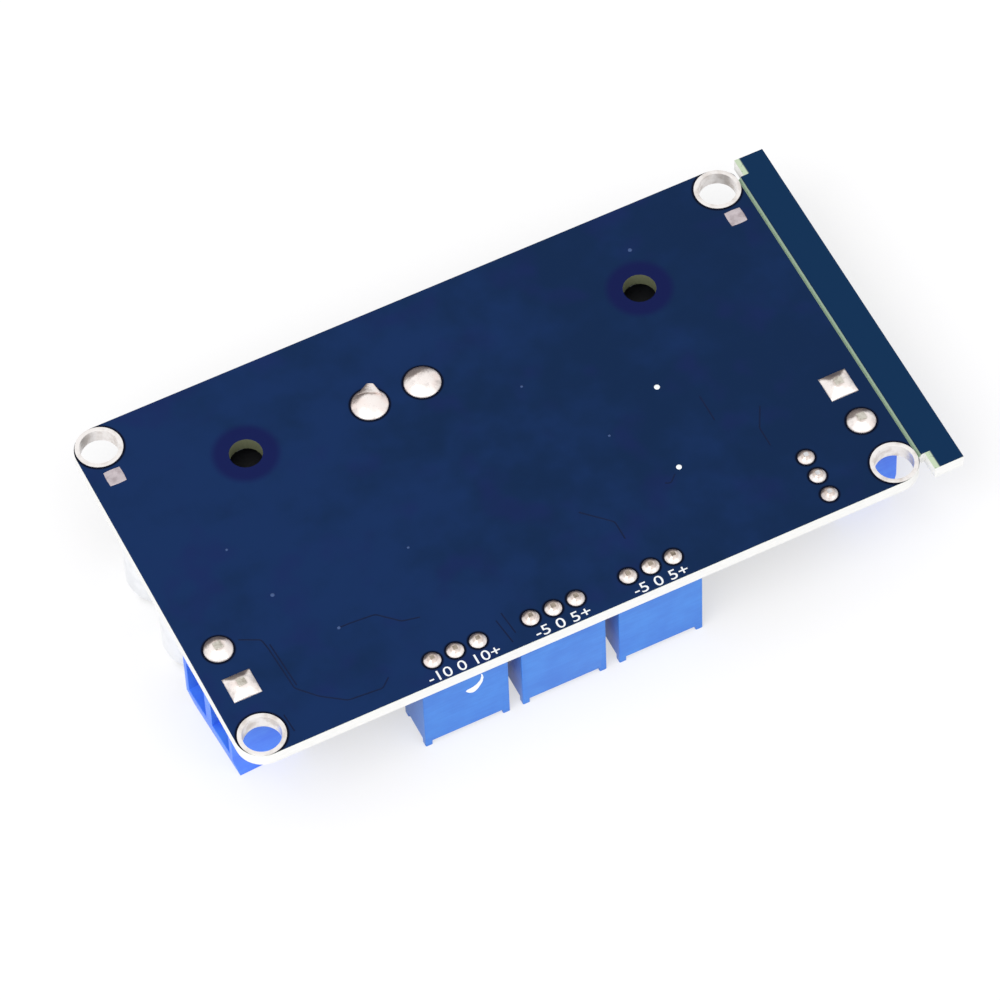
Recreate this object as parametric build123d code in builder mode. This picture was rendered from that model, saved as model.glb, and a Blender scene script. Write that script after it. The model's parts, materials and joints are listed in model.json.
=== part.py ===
from build123d import *
import os
from math import asin, atan, cos, degrees, radians, sin, sqrt

os.makedirs("parts", exist_ok=True)

# A buck-boost converter module, lying on the tops of its parts with the solder side up.
# X runs along the board to its break-off rail, Y to the heatsink edge, Z up from the surface it lies on.
# The origin is the centre of the overall outline, on that surface.

# Bare board and its break-off rail
board_length = 76.4
board_width = 44.1
board_thickness = 1.6
corner_radius = 2.9
rail_width = 3.9
groove_width = 0.56
groove_depth = 0.42
notch_length = 2.2
notch_width = 0.6

# Holes and pads of the board
corner_hole_d = 4.0
corner_hole_inset_x = 2.7
corner_hole_inset_y = 2.55
plating = 0.1
corner_pad_d = 5.0
sink_hole_d = 3.5
sink_hole_spacing = 45.0
sink_hole_inset = 10.15
spare_pad = 1.9
spare_pad_hole_d = 1.0
spare_pad_inset_x = 2.65
spare_pad_inset_y = 6.6
pad_height = 0.08
pin_clearance = 0.15
pin_tip = 0.15
joint_height = 0.75
fine_joint_height = 0.5
joint_top = 0.15

# Sides of the round features: small ones that repeat get the fewest
square_sides = 4
fine_sides = 10
bore_sides = 16
wide_sides = 24

# Screw terminals, with the wire entries at the two ends of the board
parts_height = 10.0
pole_pitch = 5.0
pole_count = 2
terminal_depth = 7.6
terminal_front = 2.9
terminal_pin_inset = 3.24
terminal_pins_y = -10.9
terminal_brow_height = 6.7
terminal_brow_setback = 0.65
terminal_floor = 1.0
input_twist = 3.0
terminal_leg = 0.9
terminal_leg_play = 0.03
terminal_pad = 3.05

# Rising clamp in each pole
cage_length = 3.6
cage_width = 3.4
cage_wall = 0.4
cage_floor = 0.5
cage_roof = 0.9
cage_travel = 2.0
cage_clearance = 0.15
strip_width = 2.2
strip_thickness = 0.7
wire_gap = 2.75
clamp_screw_d = 2.4
clamp_head_d = 3.4
clamp_head_height = 0.9
clamp_mouth_d = 3.0
thread_clearance = 0.05
slot_width = 0.6
slot_depth = 0.5

# Multi-turn trimmers
trimmer_count = 3
trimmer_spacing = 10.95
trimmer_middle_x = -3.16
trimmer_length = 9.5
trimmer_thickness = 4.83
trimmer_edge_gap = 0.5
trimmer_pin_offset = 2.16
trimmer_foot = 0.8
trimmer_foot_height = 0.7
trimmer_screw_d = 2.2
trimmer_screw_inset = 2.1
trimmer_worm_d = 1.5
trimmer_worm_length = 7.0
screw_clearance = 0.06
fine_pitch = 2.54
trimmer_pin = 0.5
trimmer_joint_d = 1.8
trimmer_pin_depth = 1.2

# Toroid inductor, lying flat
core_outer_d = 18.0
core_inner_d = 10.0
core_height = 6.5
core_edge = 0.5
wire_d = 1.0
wire_gap_to_core = 0.1
wire_lift = 0.1
turns = 17
wire_sides = 6
wire_bend = 0.5
lead_spacing = 6.0
lead_line_x = -5.65
lead_inset = 10.5
inductor_joint_d = 3.9

# Heatsinks over the power transistors
sink_gap = 0.75
sink_length = 19.0
sink_base = 2.0
fin_count = 6
fin_thickness = 0.9
transistor_length = 5.9
transistor_width = 5.0
transistor_height = 1.0
transistor_offset = 5.6
transistor_lead_pitch = 1.27
transistor_leads_a_side = 4
transistor_tab_width = 4.1
tab_width = 0.5
tab_reach = 0.35
tab_height = 0.25
thermal_pad_height = 0.3
thermal_pad_margin = 0.15

# Electrolytic capacitors
can_d = 8.0
can_inset = 4.7
can_rows = (9.8, 0.8)
can_base = 8.3
can_base_height = 1.0
can_base_lift = 0.15
can_base_cut = 1.6
can_top_gap = 0.2
can_groove_depth = 0.25
can_groove_height = 1.5
can_edge = 0.35
can_lead_width = 1.0
can_lead_length = 2.8
can_lead_reach = 0.2

# Two-colour status lamp on three leads
status_lead = 0.5
status_inset_x = 10.35
status_inset_y = 4.7
status_joint_d = 1.75
status_standoff = 1.0
status_flange_d = 3.6
status_flange_height = 0.8
status_lens_d = 3.0
status_height = 5.3
status_dome_angles = (0, 35, 70)
status_lead_spread = 0.9
status_lead_bend = 0.15

# Chips and small parts on the component side, with their places from the middle of a board of this size
layout_length = 76.4
layout_width = 44.1
lead_thickness = 0.2
chip_lift = 0.1
controller_size = (5.3, 8.2, 1.75)
controller_leads_a_side = 12
controller_lead_pitch = 0.65
controller_place = (10.55, 12.6)
amplifier_size = (4.9, 3.9, 1.45)
amplifier_leads_a_side = 4
amplifier_lead_pitch = 1.27
amplifier_place = (-14.0, -12.2)
lead_reach = 1.0
lead_width_share = 0.4
shunt_size = (6.3, 3.2, 0.7)
shunt_places = ((10.55, 5.2), (10.55, 0.9))
ceramic_size = (2.2, 1.6, 1.25)
ceramic_places = ((-24.5, -1.4), (-19.5, -1.4), (17.6, -1.6), (22.6, -1.6), (17.6, -4.2), (22.6, -4.2))
resistor_size = (1.3, 1.25, 0.5)
resistor_grid = (3, 2)
resistor_spacing = (5.2, 2.4)
resistor_middle_x = -0.5
cap_length = 0.35
fuse_size = (4.5, 2.6, 2.6)
fuse_place = (-24.5, -6.4)
fuse_cap_length = 0.8
diode_size = (4.4, 3.6, 2.2)
diode_places = ((13.6, -10.6), (20.0, -10.6))
diode_tab_width = 2.0
lamp_size = (1.4, 1.25, 0.8)
lamp_place = (-24.5, -14.0)

# Levels, measured up from the surface that the module lies on
component_face = parts_height
solder_face = component_face + board_thickness

# Places on the board, worked out from its edges, or kept in proportion to it
spread_x = board_length / layout_length
spread_y = board_width / layout_width
left_edge = -(board_length + rail_width) / 2
groove_x = left_edge + board_length
middle_x = left_edge + board_length / 2
front_edge = -board_width / 2
rear_edge = board_width / 2
corner_half_x = board_length / 2 - corner_hole_inset_x
corner_half_y = board_width / 2 - corner_hole_inset_y
corner_holes = [(middle_x + i * corner_half_x, j * corner_half_y) for i in (-1, 1) for j in (-1, 1)]
sink_y = rear_edge - sink_hole_inset
sink_holes = [(middle_x + i * spread_x * sink_hole_spacing / 2, sink_y) for i in (-1, 1)]
spare_y = rear_edge - spare_pad_inset_y
spare_half_x = board_length / 2 - spare_pad_inset_x
spare_places = [(middle_x + i * spare_half_x, spare_y) for i in (-1, 1)]
lead_y = rear_edge - lead_inset
core_x = middle_x + spread_x * lead_line_x
lead_places = [(core_x + i * lead_spacing / 2, lead_y) for i in (-1, 1)]
trimmer_y = front_edge + trimmer_edge_gap + trimmer_thickness / 2
trimmer_pin_y = front_edge + trimmer_edge_gap + trimmer_pin_offset
trimmer_middle = (trimmer_count - 1) / 2
trimmer_places = [
    (middle_x + trimmer_middle_x + (i - trimmer_middle) * trimmer_spacing, trimmer_y)
    for i in range(trimmer_count)
]
trimmer_pins = [(x + k * fine_pitch, trimmer_pin_y) for x, _ in trimmer_places for k in (-1, 0, 1)]
status_x = groove_x - status_inset_x
status_y = front_edge + status_inset_y
status_places = [(status_x, status_y + k * fine_pitch) for k in (-1, 0, 1)]
can_places = [(left_edge + can_inset, y) for y in can_rows] + [(groove_x - can_inset, y) for y in can_rows]

# The component side, seen from below the board: its Z points down, away from the board.
underside = Plane(origin=(0, 0, component_face), x_dir=(1, 0, 0), z_dir=(0, 0, -1))
top_side = Plane.XY.offset(solder_face)


def spread(places):
    """Places of the layout's board, moved in step with the real board."""
    return [(middle_x + spread_x * x, spread_y * y) for x, y in places]


def below(x, y, drop=0.0):
    """The plane under the board at (x, y), facing down, drop below the component side."""
    return Plane(origin=(x, y, component_face - drop), x_dir=(1, 0, 0), z_dir=(0, 0, -1))


# Each terminal has its own frame: X to the wire entry, Z away from the board, origin between its pins.
terminal_frames = {}
for side, outward, pin_x, twist in (
    ("input", -1, left_edge + terminal_pin_inset, input_twist),
    ("output", 1, groove_x - terminal_pin_inset, 0.0),
):
    entry = Vector(outward, 0, 0).rotate(Axis.Z, twist)
    terminal_frames[side] = Plane(
        origin=(pin_x, terminal_pins_y, component_face), x_dir=entry, z_dir=(0, 0, -1)
    )
pole_places = [(0, (i - (pole_count - 1) / 2) * pole_pitch) for i in range(pole_count)]
terminal_legs = {
    side: [frame.from_local_coords(Vector(x, y, 0)) for x, y in pole_places]
    for side, frame in terminal_frames.items()
}
all_legs = [(leg.X, leg.Y) for legs in terminal_legs.values() for leg in legs]

# The board is one laminate, and the rail snaps off at the groove. Its corners were routed, so a
# small notch separates each end of the rail from the board's rounded corner.
with BuildPart() as circuit_board:
    with BuildSketch(Plane.XY.offset(component_face)):
        with Locations((middle_x, 0)):
            RectangleRounded(board_length, board_width, corner_radius)
        with BuildLine():
            Polyline(
                (groove_x + notch_width, rear_edge),
                (groove_x + rail_width, rear_edge),
                (groove_x + rail_width, front_edge),
                (groove_x + notch_width, front_edge),
                (groove_x + notch_width, front_edge + notch_length),
                (groove_x - corner_radius / 2, front_edge + notch_length),
                (groove_x - corner_radius / 2, rear_edge - notch_length),
                (groove_x + notch_width, rear_edge - notch_length),
                close=True,
            )
        make_face()
    extrude(amount=board_thickness)
    with BuildSketch(Plane.XZ):
        for face_z, inward in ((solder_face, -1), (component_face, 1)):
            with BuildLine():
                Polyline(
                    (groove_x - groove_width / 2, face_z),
                    (groove_x + groove_width / 2, face_z),
                    (groove_x, face_z + inward * groove_depth),
                    close=True,
                )
            make_face()
    extrude(amount=board_width, both=True, mode=Mode.SUBTRACT)
    for places, radius, sides in (
        (corner_holes, (corner_hole_d / 2 + plating) / cos(radians(180 / wide_sides)), wide_sides),
        (sink_holes, sink_hole_d / 2, wide_sides),
        (spare_places, spare_pad_hole_d / 2, fine_sides),
        (lead_places, wire_d / 2 + pin_clearance, fine_sides),
        (all_legs, terminal_leg / sqrt(2) + pin_clearance, fine_sides),
        (trimmer_pins, trimmer_pin / sqrt(2) + pin_clearance, fine_sides),
        (status_places, status_lead / sqrt(2) + pin_clearance, fine_sides),
    ):
        with BuildSketch(top_side):
            with Locations(*places):
                RegularPolygon(radius, sides)
        extrude(amount=-board_thickness, mode=Mode.SUBTRACT)
circuit_board.part.label = "circuit_board"
export_step(circuit_board.part, "parts/circuit_board.step")

# Tinned copper lines each corner hole and spreads into a ring on the solder side.
with BuildPart() as corner_hole_plating:
    with BuildSketch(top_side):
        with Locations(*corner_holes):
            RegularPolygon(corner_pad_d / 2, wide_sides)
    extrude(amount=pad_height)
    with BuildSketch(top_side):
        with Locations(*corner_holes):
            Circle(corner_hole_d / 2 + plating)
    extrude(amount=-board_thickness)
    with Locations(*[(x, y, solder_face + pad_height) for x, y in corner_holes]):
        Hole(corner_hole_d / 2)
corner_hole_plating.part.label = "corner_hole_plating"
export_step(corner_hole_plating.part, "parts/corner_hole_plating.step")

with BuildPart() as spare_square_pads:
    with BuildSketch(top_side):
        with Locations(*spare_places):
            Rectangle(spare_pad, spare_pad)
            RegularPolygon(spare_pad_hole_d / 2, fine_sides, mode=Mode.SUBTRACT)
    extrude(amount=pad_height)
spare_square_pads.part.label = "spare_square_pads"
export_step(spare_square_pads.part, "parts/spare_square_pads.step")



def sketch_of(width, sides):
    """A flat outline about the origin: a square for four sides, and else a polygon in a circle."""
    with BuildSketch() as flat:
        if sides == square_sides:
            Rectangle(width, width)
        else:
            RegularPolygon(width / 2, sides)
    return flat.sketch


def solder_joints(name, height, lead, pads):
    """Mounds of solder on the solder side, each with a lead standing through it."""
    lead_width, lead_sides = lead
    with BuildPart() as mounds:
        for places, width, sides in pads:
            slope = degrees(atan(((width - lead_width) / 2 - joint_top) / height))
            with BuildSketch(top_side):
                with Locations(*places):
                    add(sketch_of(width, sides))
            extrude(amount=height, taper=slope)
            with BuildSketch(top_side):
                with Locations(*places):
                    add(sketch_of(lead_width, lead_sides))
            extrude(amount=height, mode=Mode.SUBTRACT)
    mounds.part.label = name
    export_step(mounds.part, f"parts/{name}.step")


# The terminal legs nearest the plus marks have square pads, where the mound has four sides.
square_legs = all_legs[::pole_count]
round_legs = all_legs[1::pole_count]
terminal_pads = [(square_legs, terminal_pad, square_sides), (round_legs, terminal_pad, bore_sides)]
leg_hole = terminal_leg + 2 * terminal_leg_play
solder_joints("terminal_solder_joints", joint_height, (leg_hole, square_sides), terminal_pads)
inductor_pads = [(lead_places, inductor_joint_d, wide_sides)]
solder_joints("inductor_solder_joints", joint_height, (wire_d, wide_sides), inductor_pads)
trimmer_pads = [(trimmer_pins, trimmer_joint_d, fine_sides)]
solder_joints("trimmer_solder_joints", fine_joint_height, (trimmer_pin, square_sides), trimmer_pads)
status_pads = [(status_places, status_joint_d, fine_sides)]
solder_joints("status_lamp_solder_joints", fine_joint_height, (status_lead, square_sides), status_pads)

# Heights inside a terminal, measured away from the board.
# The wire lies between the cage's floor and the fixed strip, and the screw's tip bears on the strip.
cage_low = terminal_floor + cage_clearance / 3
strip_low = cage_low + cage_floor + wire_gap
strip_high = strip_low + strip_thickness
cage_inner_high = strip_high + 2 * thread_clearance
cage_high = cage_inner_high + cage_roof
head_low = cage_high + cage_travel + 2 * cage_clearance
head_high = head_low + clamp_head_height
well_high = head_high + thread_clearance
chamber_high = cage_high + cage_travel + cage_clearance
terminal_back = terminal_front - terminal_depth
cage_x = (terminal_front + terminal_back) / 2
chamber_back = cage_x - cage_length / 2 - cage_clearance
chamber_width = cage_width + 2 * cage_clearance
strip_back = chamber_back - strip_thickness - thread_clearance
strip_front = cage_x + cage_length / 2
entry_high = terminal_brow_height - terminal_brow_setback
half_run = pole_count * pole_pitch / 2
strip_slot = strip_width + 2 * thread_clearance

for side, frame in terminal_frames.items():
    profile_plane = Plane(frame.origin, x_dir=frame.x_dir, z_dir=-frame.y_dir)
    with BuildPart() as terminal_housing:
        with BuildSketch(profile_plane):
            with BuildLine():
                Polyline(
                    (terminal_back, 0),
                    (terminal_front, 0),
                    (terminal_front, terminal_brow_height),
                    (terminal_front - terminal_brow_setback, parts_height),
                    (terminal_back, parts_height),
                    close=True,
                )
            make_face()
        extrude(amount=half_run, both=True)
        # Chamber, wire entry, screw well and its narrower mouth, which keeps the screw in
        with BuildSketch(frame.offset(terminal_floor)):
            with Locations(*[(cage_x, y) for _, y in pole_places]):
                Rectangle(cage_length + 2 * cage_clearance, chamber_width)
        extrude(amount=chamber_high - terminal_floor, mode=Mode.SUBTRACT)
        with BuildSketch(frame.offset(terminal_floor)):
            with Locations(*[(terminal_front, y) for _, y in pole_places]):
                Rectangle(2 * (terminal_front - cage_x), chamber_width)
        extrude(amount=entry_high - terminal_floor, mode=Mode.SUBTRACT)
        with BuildSketch(frame.offset(chamber_high)):
            with Locations(*[(cage_x, y) for _, y in pole_places]):
                RegularPolygon(chamber_width / 2, bore_sides)
        extrude(amount=well_high - chamber_high, mode=Mode.SUBTRACT)
        with BuildSketch(frame.offset(well_high)):
            with Locations(*[(cage_x, y) for _, y in pole_places]):
                RegularPolygon(clamp_mouth_d / 2, bore_sides)
        extrude(amount=parts_height - well_high, mode=Mode.SUBTRACT)
        # Channel that holds the contact strip, in the floor and up the back wall
        with BuildSketch(frame):
            with Locations(*[((strip_back + terminal_leg) / 2, y) for _, y in pole_places]):
                Rectangle(terminal_leg - strip_back, strip_slot)
        extrude(amount=terminal_floor, mode=Mode.SUBTRACT)
        with BuildSketch(frame):
            with Locations(*[((strip_back + chamber_back) / 2, y) for _, y in pole_places]):
                Rectangle(chamber_back - strip_back, strip_slot)
        extrude(amount=strip_high, mode=Mode.SUBTRACT)
    terminal_housing.part.label = f"{side}_terminal_housing"
    export_step(terminal_housing.part, f"parts/{terminal_housing.part.label}.step")

    # One bent strip a pole: a foot in the floor, a riser in the back wall, and the bar the wire is held to
    foot_high = terminal_floor - thread_clearance
    foot_low = foot_high - strip_thickness
    with BuildPart() as terminal_contacts:
        for _, y in pole_places:
            strip_plane = Plane(
                frame.from_local_coords(Vector(0, y, 0)), x_dir=frame.x_dir, z_dir=-frame.y_dir
            )
            with BuildSketch(strip_plane):
                with BuildLine():
                    Polyline(
                        (strip_back, foot_low),
                        (terminal_leg / 2, foot_low),
                        (terminal_leg / 2, foot_high),
                        (strip_back + strip_thickness, foot_high),
                        (strip_back + strip_thickness, strip_low),
                        (strip_front, strip_low),
                        (strip_front, strip_high),
                        (strip_back, strip_high),
                        close=True,
                    )
                make_face()
            extrude(amount=strip_width / 2, both=True)
        with BuildSketch(frame.offset(foot_low)):
            with Locations(*pole_places):
                Rectangle(terminal_leg, terminal_leg)
        extrude(amount=-(foot_low + board_thickness + joint_height + pin_tip))
    terminal_contacts.part.label = f"{side}_terminal_contacts"
    export_step(terminal_contacts.part, f"parts/{terminal_contacts.part.label}.step")

    for pole, (_, y) in enumerate(pole_places, 1):
        with BuildPart() as clamp_cage:
            with BuildSketch(frame.offset(cage_low)):
                with Locations((cage_x, y)):
                    Rectangle(cage_length, cage_width)
            extrude(amount=cage_high - cage_low)
            with BuildSketch(frame.offset(cage_low + cage_floor)):
                with Locations((cage_x, y)):
                    Rectangle(cage_length, cage_width - 2 * cage_wall)
            extrude(amount=cage_inner_high - cage_low - cage_floor, mode=Mode.SUBTRACT)
            with BuildSketch(frame.offset(cage_inner_high)):
                with Locations((cage_x, y)):
                    RegularPolygon(clamp_screw_d / 2 + thread_clearance, bore_sides)
            extrude(amount=cage_roof, mode=Mode.SUBTRACT)
        clamp_cage.part.label = f"{side}_clamp_cage_{pole}"
        export_step(clamp_cage.part, f"parts/{clamp_cage.part.label}.step")

        with BuildPart() as clamp_screw:
            with BuildSketch(frame.offset(strip_high + thread_clearance)):
                with Locations((cage_x, y)):
                    RegularPolygon(clamp_screw_d / 2, bore_sides)
            extrude(amount=head_low - strip_high - thread_clearance)
            with BuildSketch(frame.offset(head_low)):
                with Locations((cage_x, y)):
                    Circle(clamp_head_d / 2)
            extrude(amount=clamp_head_height)
            with BuildSketch(frame.offset(head_high - slot_depth)):
                with Locations((cage_x, y)):
                    Rectangle(clamp_head_d, slot_width)
            extrude(amount=slot_depth, mode=Mode.SUBTRACT)
        clamp_screw.part.label = f"{side}_clamp_screw_{pole}"
        export_step(clamp_screw.part, f"parts/{clamp_screw.part.label}.step")

# Each trimmer stands on the four small feet of its far end. Its brass screw sits between them.
trimmer_body_height = parts_height - trimmer_foot_height
screw_head_drop = trimmer_body_height - trimmer_foot_height / 2
screw_seat = trimmer_body_height - trimmer_foot_height
foot_half_x = (trimmer_length - trimmer_foot) / 2
foot_half_y = (trimmer_thickness - trimmer_foot) / 2
for number, (x, y) in enumerate(trimmer_places, 1):
    frame = below(x, y)
    screw_place = (trimmer_screw_inset - trimmer_length / 2, 0)
    with BuildPart() as trimmer_housing:
        with BuildSketch(frame):
            Rectangle(trimmer_length, trimmer_thickness)
        extrude(amount=trimmer_body_height)
        with BuildSketch(frame.offset(trimmer_body_height)):
            with GridLocations(2 * foot_half_x, 2 * foot_half_y, 2, 2):
                Rectangle(trimmer_foot, trimmer_foot)
        extrude(amount=trimmer_foot_height)
        with BuildSketch(frame.offset(screw_seat)):
            with Locations(screw_place):
                RegularPolygon(trimmer_screw_d / 2 + screw_clearance, bore_sides)
        extrude(amount=trimmer_foot_height, mode=Mode.SUBTRACT)
        with BuildSketch(frame.offset(screw_seat)):
            with Locations(screw_place):
                RegularPolygon(trimmer_worm_d / 2 + screw_clearance, bore_sides)
        extrude(amount=-(trimmer_worm_length + screw_clearance), mode=Mode.SUBTRACT)
        with BuildSketch(frame):
            with Locations(*[(k * fine_pitch, trimmer_y - trimmer_pin_y) for k in (-1, 0, 1)]):
                Rectangle(trimmer_pin, trimmer_pin)
        extrude(amount=trimmer_pin_depth, mode=Mode.SUBTRACT)
    trimmer_housing.part.label = f"trimmer_housing_{number}"
    export_step(trimmer_housing.part, f"parts/{trimmer_housing.part.label}.step")

    with BuildPart() as trimmer_screw:
        with BuildSketch(frame.offset(screw_seat + screw_clearance)):
            with Locations(screw_place):
                RegularPolygon(trimmer_worm_d / 2, bore_sides)
        extrude(amount=-(trimmer_worm_length + screw_clearance))
        with BuildSketch(frame.offset(screw_seat + screw_clearance)):
            with Locations(screw_place):
                Circle(trimmer_screw_d / 2)
        extrude(amount=2 * trimmer_foot_height - 3 * screw_clearance)
        with BuildSketch(frame.offset(parts_height - 2 * screw_clearance)):
            with Locations(screw_place):
                Rectangle(trimmer_screw_d, slot_width)
        extrude(amount=-slot_depth, mode=Mode.SUBTRACT)
    trimmer_screw.part.label = f"trimmer_screw_{number}"
    export_step(trimmer_screw.part, f"parts/{trimmer_screw.part.label}.step")

with BuildPart() as trimmer_pin_set:
    with BuildSketch(Plane.XY.offset(component_face - trimmer_pin_depth)):
        with Locations(*trimmer_pins):
            Rectangle(trimmer_pin, trimmer_pin)
    extrude(amount=trimmer_pin_depth + board_thickness + fine_joint_height + pin_tip)
trimmer_pin_set.part.label = "trimmer_pins"
export_step(trimmer_pin_set.part, "parts/trimmer_pins.step")

# Toroid: the two leads drop straight into the board in line with the outer legs of the winding,
# so the core's centre follows from their spacing.
outer_leg_r = core_outer_d / 2 + wire_gap_to_core + wire_d / 2
inner_leg_r = core_inner_d / 2 - wire_gap_to_core - wire_d / 2
half_gap = degrees(asin(lead_spacing / 2 / outer_leg_r))
core_y = lead_y - outer_leg_r * cos(radians(half_gap))
near_wire = wire_lift + wire_d / 2
core_near = near_wire + wire_d / 2 + wire_gap_to_core
far_wire = core_near + core_height + wire_gap_to_core + wire_d / 2

with BuildPart() as inductor_core:
    with BuildSketch(below(core_x, core_y, core_near)):
        RegularPolygon(core_outer_d / 2, 2 * wide_sides)
        RegularPolygon(core_inner_d / 2, wide_sides, mode=Mode.SUBTRACT)
    extrude(amount=core_height)
    chamfer(inductor_core.edges().filter_by(Plane.XY), length=core_edge)
inductor_core.part.label = "inductor_core"
export_step(inductor_core.part, "parts/inductor_core.step")


def wire_point(radius, angle, drop):
    """A point of the winding, from its distance and bearing about the core and its drop below the board."""
    x = core_x + radius * cos(radians(angle))
    y = core_y + radius * sin(radians(angle))
    return Vector(x, y, component_face - drop)


def ease_corners(route, cut):
    """The route with each inner corner cut off by a short straight."""
    eased = [route[0]]
    for before, corner, after in zip(route, route[1:], route[2:]):
        eased.append(corner + (before - corner).normalized() * cut)
        eased.append(corner + (after - corner).normalized() * cut)
    return eased + [route[-1]]


first_bearing = 90 + half_gap
turn_step = (360 - 2 * half_gap) / turns
lead_top = -(board_thickness + joint_height + pin_tip)
route = [wire_point(outer_leg_r, first_bearing, lead_top)]
for turn in range(turns):
    bearing = first_bearing + turn * turn_step
    route.append(wire_point(outer_leg_r, bearing, far_wire))
    route.append(wire_point(inner_leg_r, bearing, far_wire))
    route.append(wire_point(inner_leg_r, bearing, near_wire))
    route.append(wire_point(outer_leg_r, bearing + turn_step, near_wire))
route.append(wire_point(outer_leg_r, first_bearing + turns * turn_step, lead_top))
with BuildPart() as inductor_winding:
    with BuildLine():
        Polyline(*ease_corners(route, wire_bend))
    with BuildSketch(Plane(route[0], z_dir=(0, 0, -1))):
        RegularPolygon(wire_d / 2, wire_sides)
    sweep(transition=Transition.RIGHT)
inductor_winding.part.label = "inductor_winding"
export_step(inductor_winding.part, "parts/inductor_winding.step")

# Each heatsink lies on pads over two power transistors, one each side of its bare hole. It fills the
# room that the capacitors and the winding leave.
room_to_can = sink_holes[0][0] - (left_edge + can_inset + can_base / 2)
room_to_winding = core_x - outer_leg_r - wire_d / 2 - sink_holes[0][0]
sink_width = 2 * (min(room_to_can, room_to_winding) - sink_gap)
sink_low = transistor_height + thermal_pad_height
fin_low = sink_low + sink_base
fin_pitch = (sink_width - fin_thickness) / (fin_count - 1)
for side, (x, y) in zip(("input", "output"), sink_holes):
    frame = below(x, y)
    with BuildPart() as heatsink:
        with BuildSketch(frame.offset(sink_low)):
            Rectangle(sink_width, sink_length)
        extrude(amount=sink_base)
        with BuildSketch(frame.offset(fin_low)):
            with GridLocations(fin_pitch, 0, fin_count, 1):
                Rectangle(fin_thickness, sink_length)
        extrude(amount=parts_height - fin_low)
    heatsink.part.label = f"{side}_heatsink"
    export_step(heatsink.part, f"parts/{heatsink.part.label}.step")

transistor_places = [(x, y + i * transistor_offset) for x, y in sink_holes for i in (-1, 1)]
for number, (x, y) in enumerate(transistor_places, 1):
    with BuildPart() as transistor:
        with BuildSketch(below(x, y)):
            Rectangle(transistor_width, transistor_length)
        extrude(amount=transistor_height)
    transistor.part.label = f"power_transistor_{number}"
    export_step(transistor.part, f"parts/{transistor.part.label}.step")

lead_row = (transistor_length + tab_reach) / 2
with BuildPart() as transistor_leads:
    with BuildSketch(underside):
        with Locations(*[(x, lead_row - y) for x, y in transistor_places]):
            with GridLocations(transistor_lead_pitch, 0, transistor_leads_a_side, 1):
                Rectangle(tab_width, tab_reach)
        with Locations(*[(x, -lead_row - y) for x, y in transistor_places]):
            Rectangle(transistor_tab_width, tab_reach)
    extrude(amount=tab_height)
transistor_leads.part.label = "transistor_leads"
export_step(transistor_leads.part, "parts/transistor_leads.step")

with BuildPart() as thermal_pads:
    with BuildSketch(underside.offset(transistor_height)):
        with Locations(*[(x, -y) for x, y in transistor_places]):
            Rectangle(transistor_width + 2 * thermal_pad_margin, transistor_length + 2 * thermal_pad_margin)
    extrude(amount=thermal_pad_height)
thermal_pads.part.label = "thermal_pads"
export_step(thermal_pads.part, "parts/thermal_pads.step")

# Electrolytic capacitors: an aluminium can crimped above its base, on two flat leads
can_low = can_base_lift + can_base_height
can_high = parts_height - can_top_gap
for number, (x, y) in enumerate(can_places, 1):
    frame = below(x, y)
    with BuildPart() as capacitor_base:
        with BuildSketch(frame.offset(can_base_lift)) as base_outline:
            Rectangle(can_base, can_base)
            chamfer(base_outline.vertices().group_by(Axis.Y)[0], length=can_base_cut)
        extrude(amount=can_base_height)
    capacitor_base.part.label = f"capacitor_base_{number}"
    export_step(capacitor_base.part, f"parts/{capacitor_base.part.label}.step")

    with BuildPart() as capacitor_can:
        for level, inward in (
            (can_low, 0),
            (can_low + can_groove_height / 2, can_groove_depth),
            (can_low + can_groove_height, 0),
            (can_high - can_edge, 0),
            (can_high, can_edge),
        ):
            with BuildSketch(frame.offset(level)):
                RegularPolygon(can_d / 2 - inward, wide_sides)
        loft(ruled=True)
    capacitor_can.part.label = f"capacitor_can_{number}"
    export_step(capacitor_can.part, f"parts/{capacitor_can.part.label}.step")

with BuildPart() as capacitor_leads:
    with BuildSketch(underside):
        with Locations(*[(x, -y) for x, y in can_places]):
            with GridLocations(0, can_base + 2 * can_lead_reach - can_lead_length, 1, 2):
                Rectangle(can_lead_width, can_lead_length)
    extrude(amount=can_base_lift)
capacitor_leads.part.label = "capacitor_leads"
export_step(capacitor_leads.part, "parts/capacitor_leads.step")

# Status lamp: a domed lens on a flange, whose outer leads spread to the pitch of the holes
status_frame = below(status_x, status_y)
lens_low = status_standoff + status_flange_height
dome_low = status_height - status_lens_d / 2
with BuildPart() as status_lamp:
    with BuildSketch(status_frame.offset(status_standoff)):
        RegularPolygon(status_flange_d / 2, fine_sides)
    extrude(amount=status_flange_height)
    with BuildSketch(status_frame.offset(lens_low)):
        RegularPolygon(status_lens_d / 2, fine_sides)
    extrude(amount=dome_low - lens_low)
    with BuildPart():
        for angle in status_dome_angles:
            with BuildSketch(status_frame.offset(dome_low + status_lens_d / 2 * sin(radians(angle)))):
                RegularPolygon(status_lens_d / 2 * cos(radians(angle)), fine_sides)
        loft(ruled=True)
status_lamp.part.label = "status_lamp"
export_step(status_lamp.part, "parts/status_lamp.step")

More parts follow.
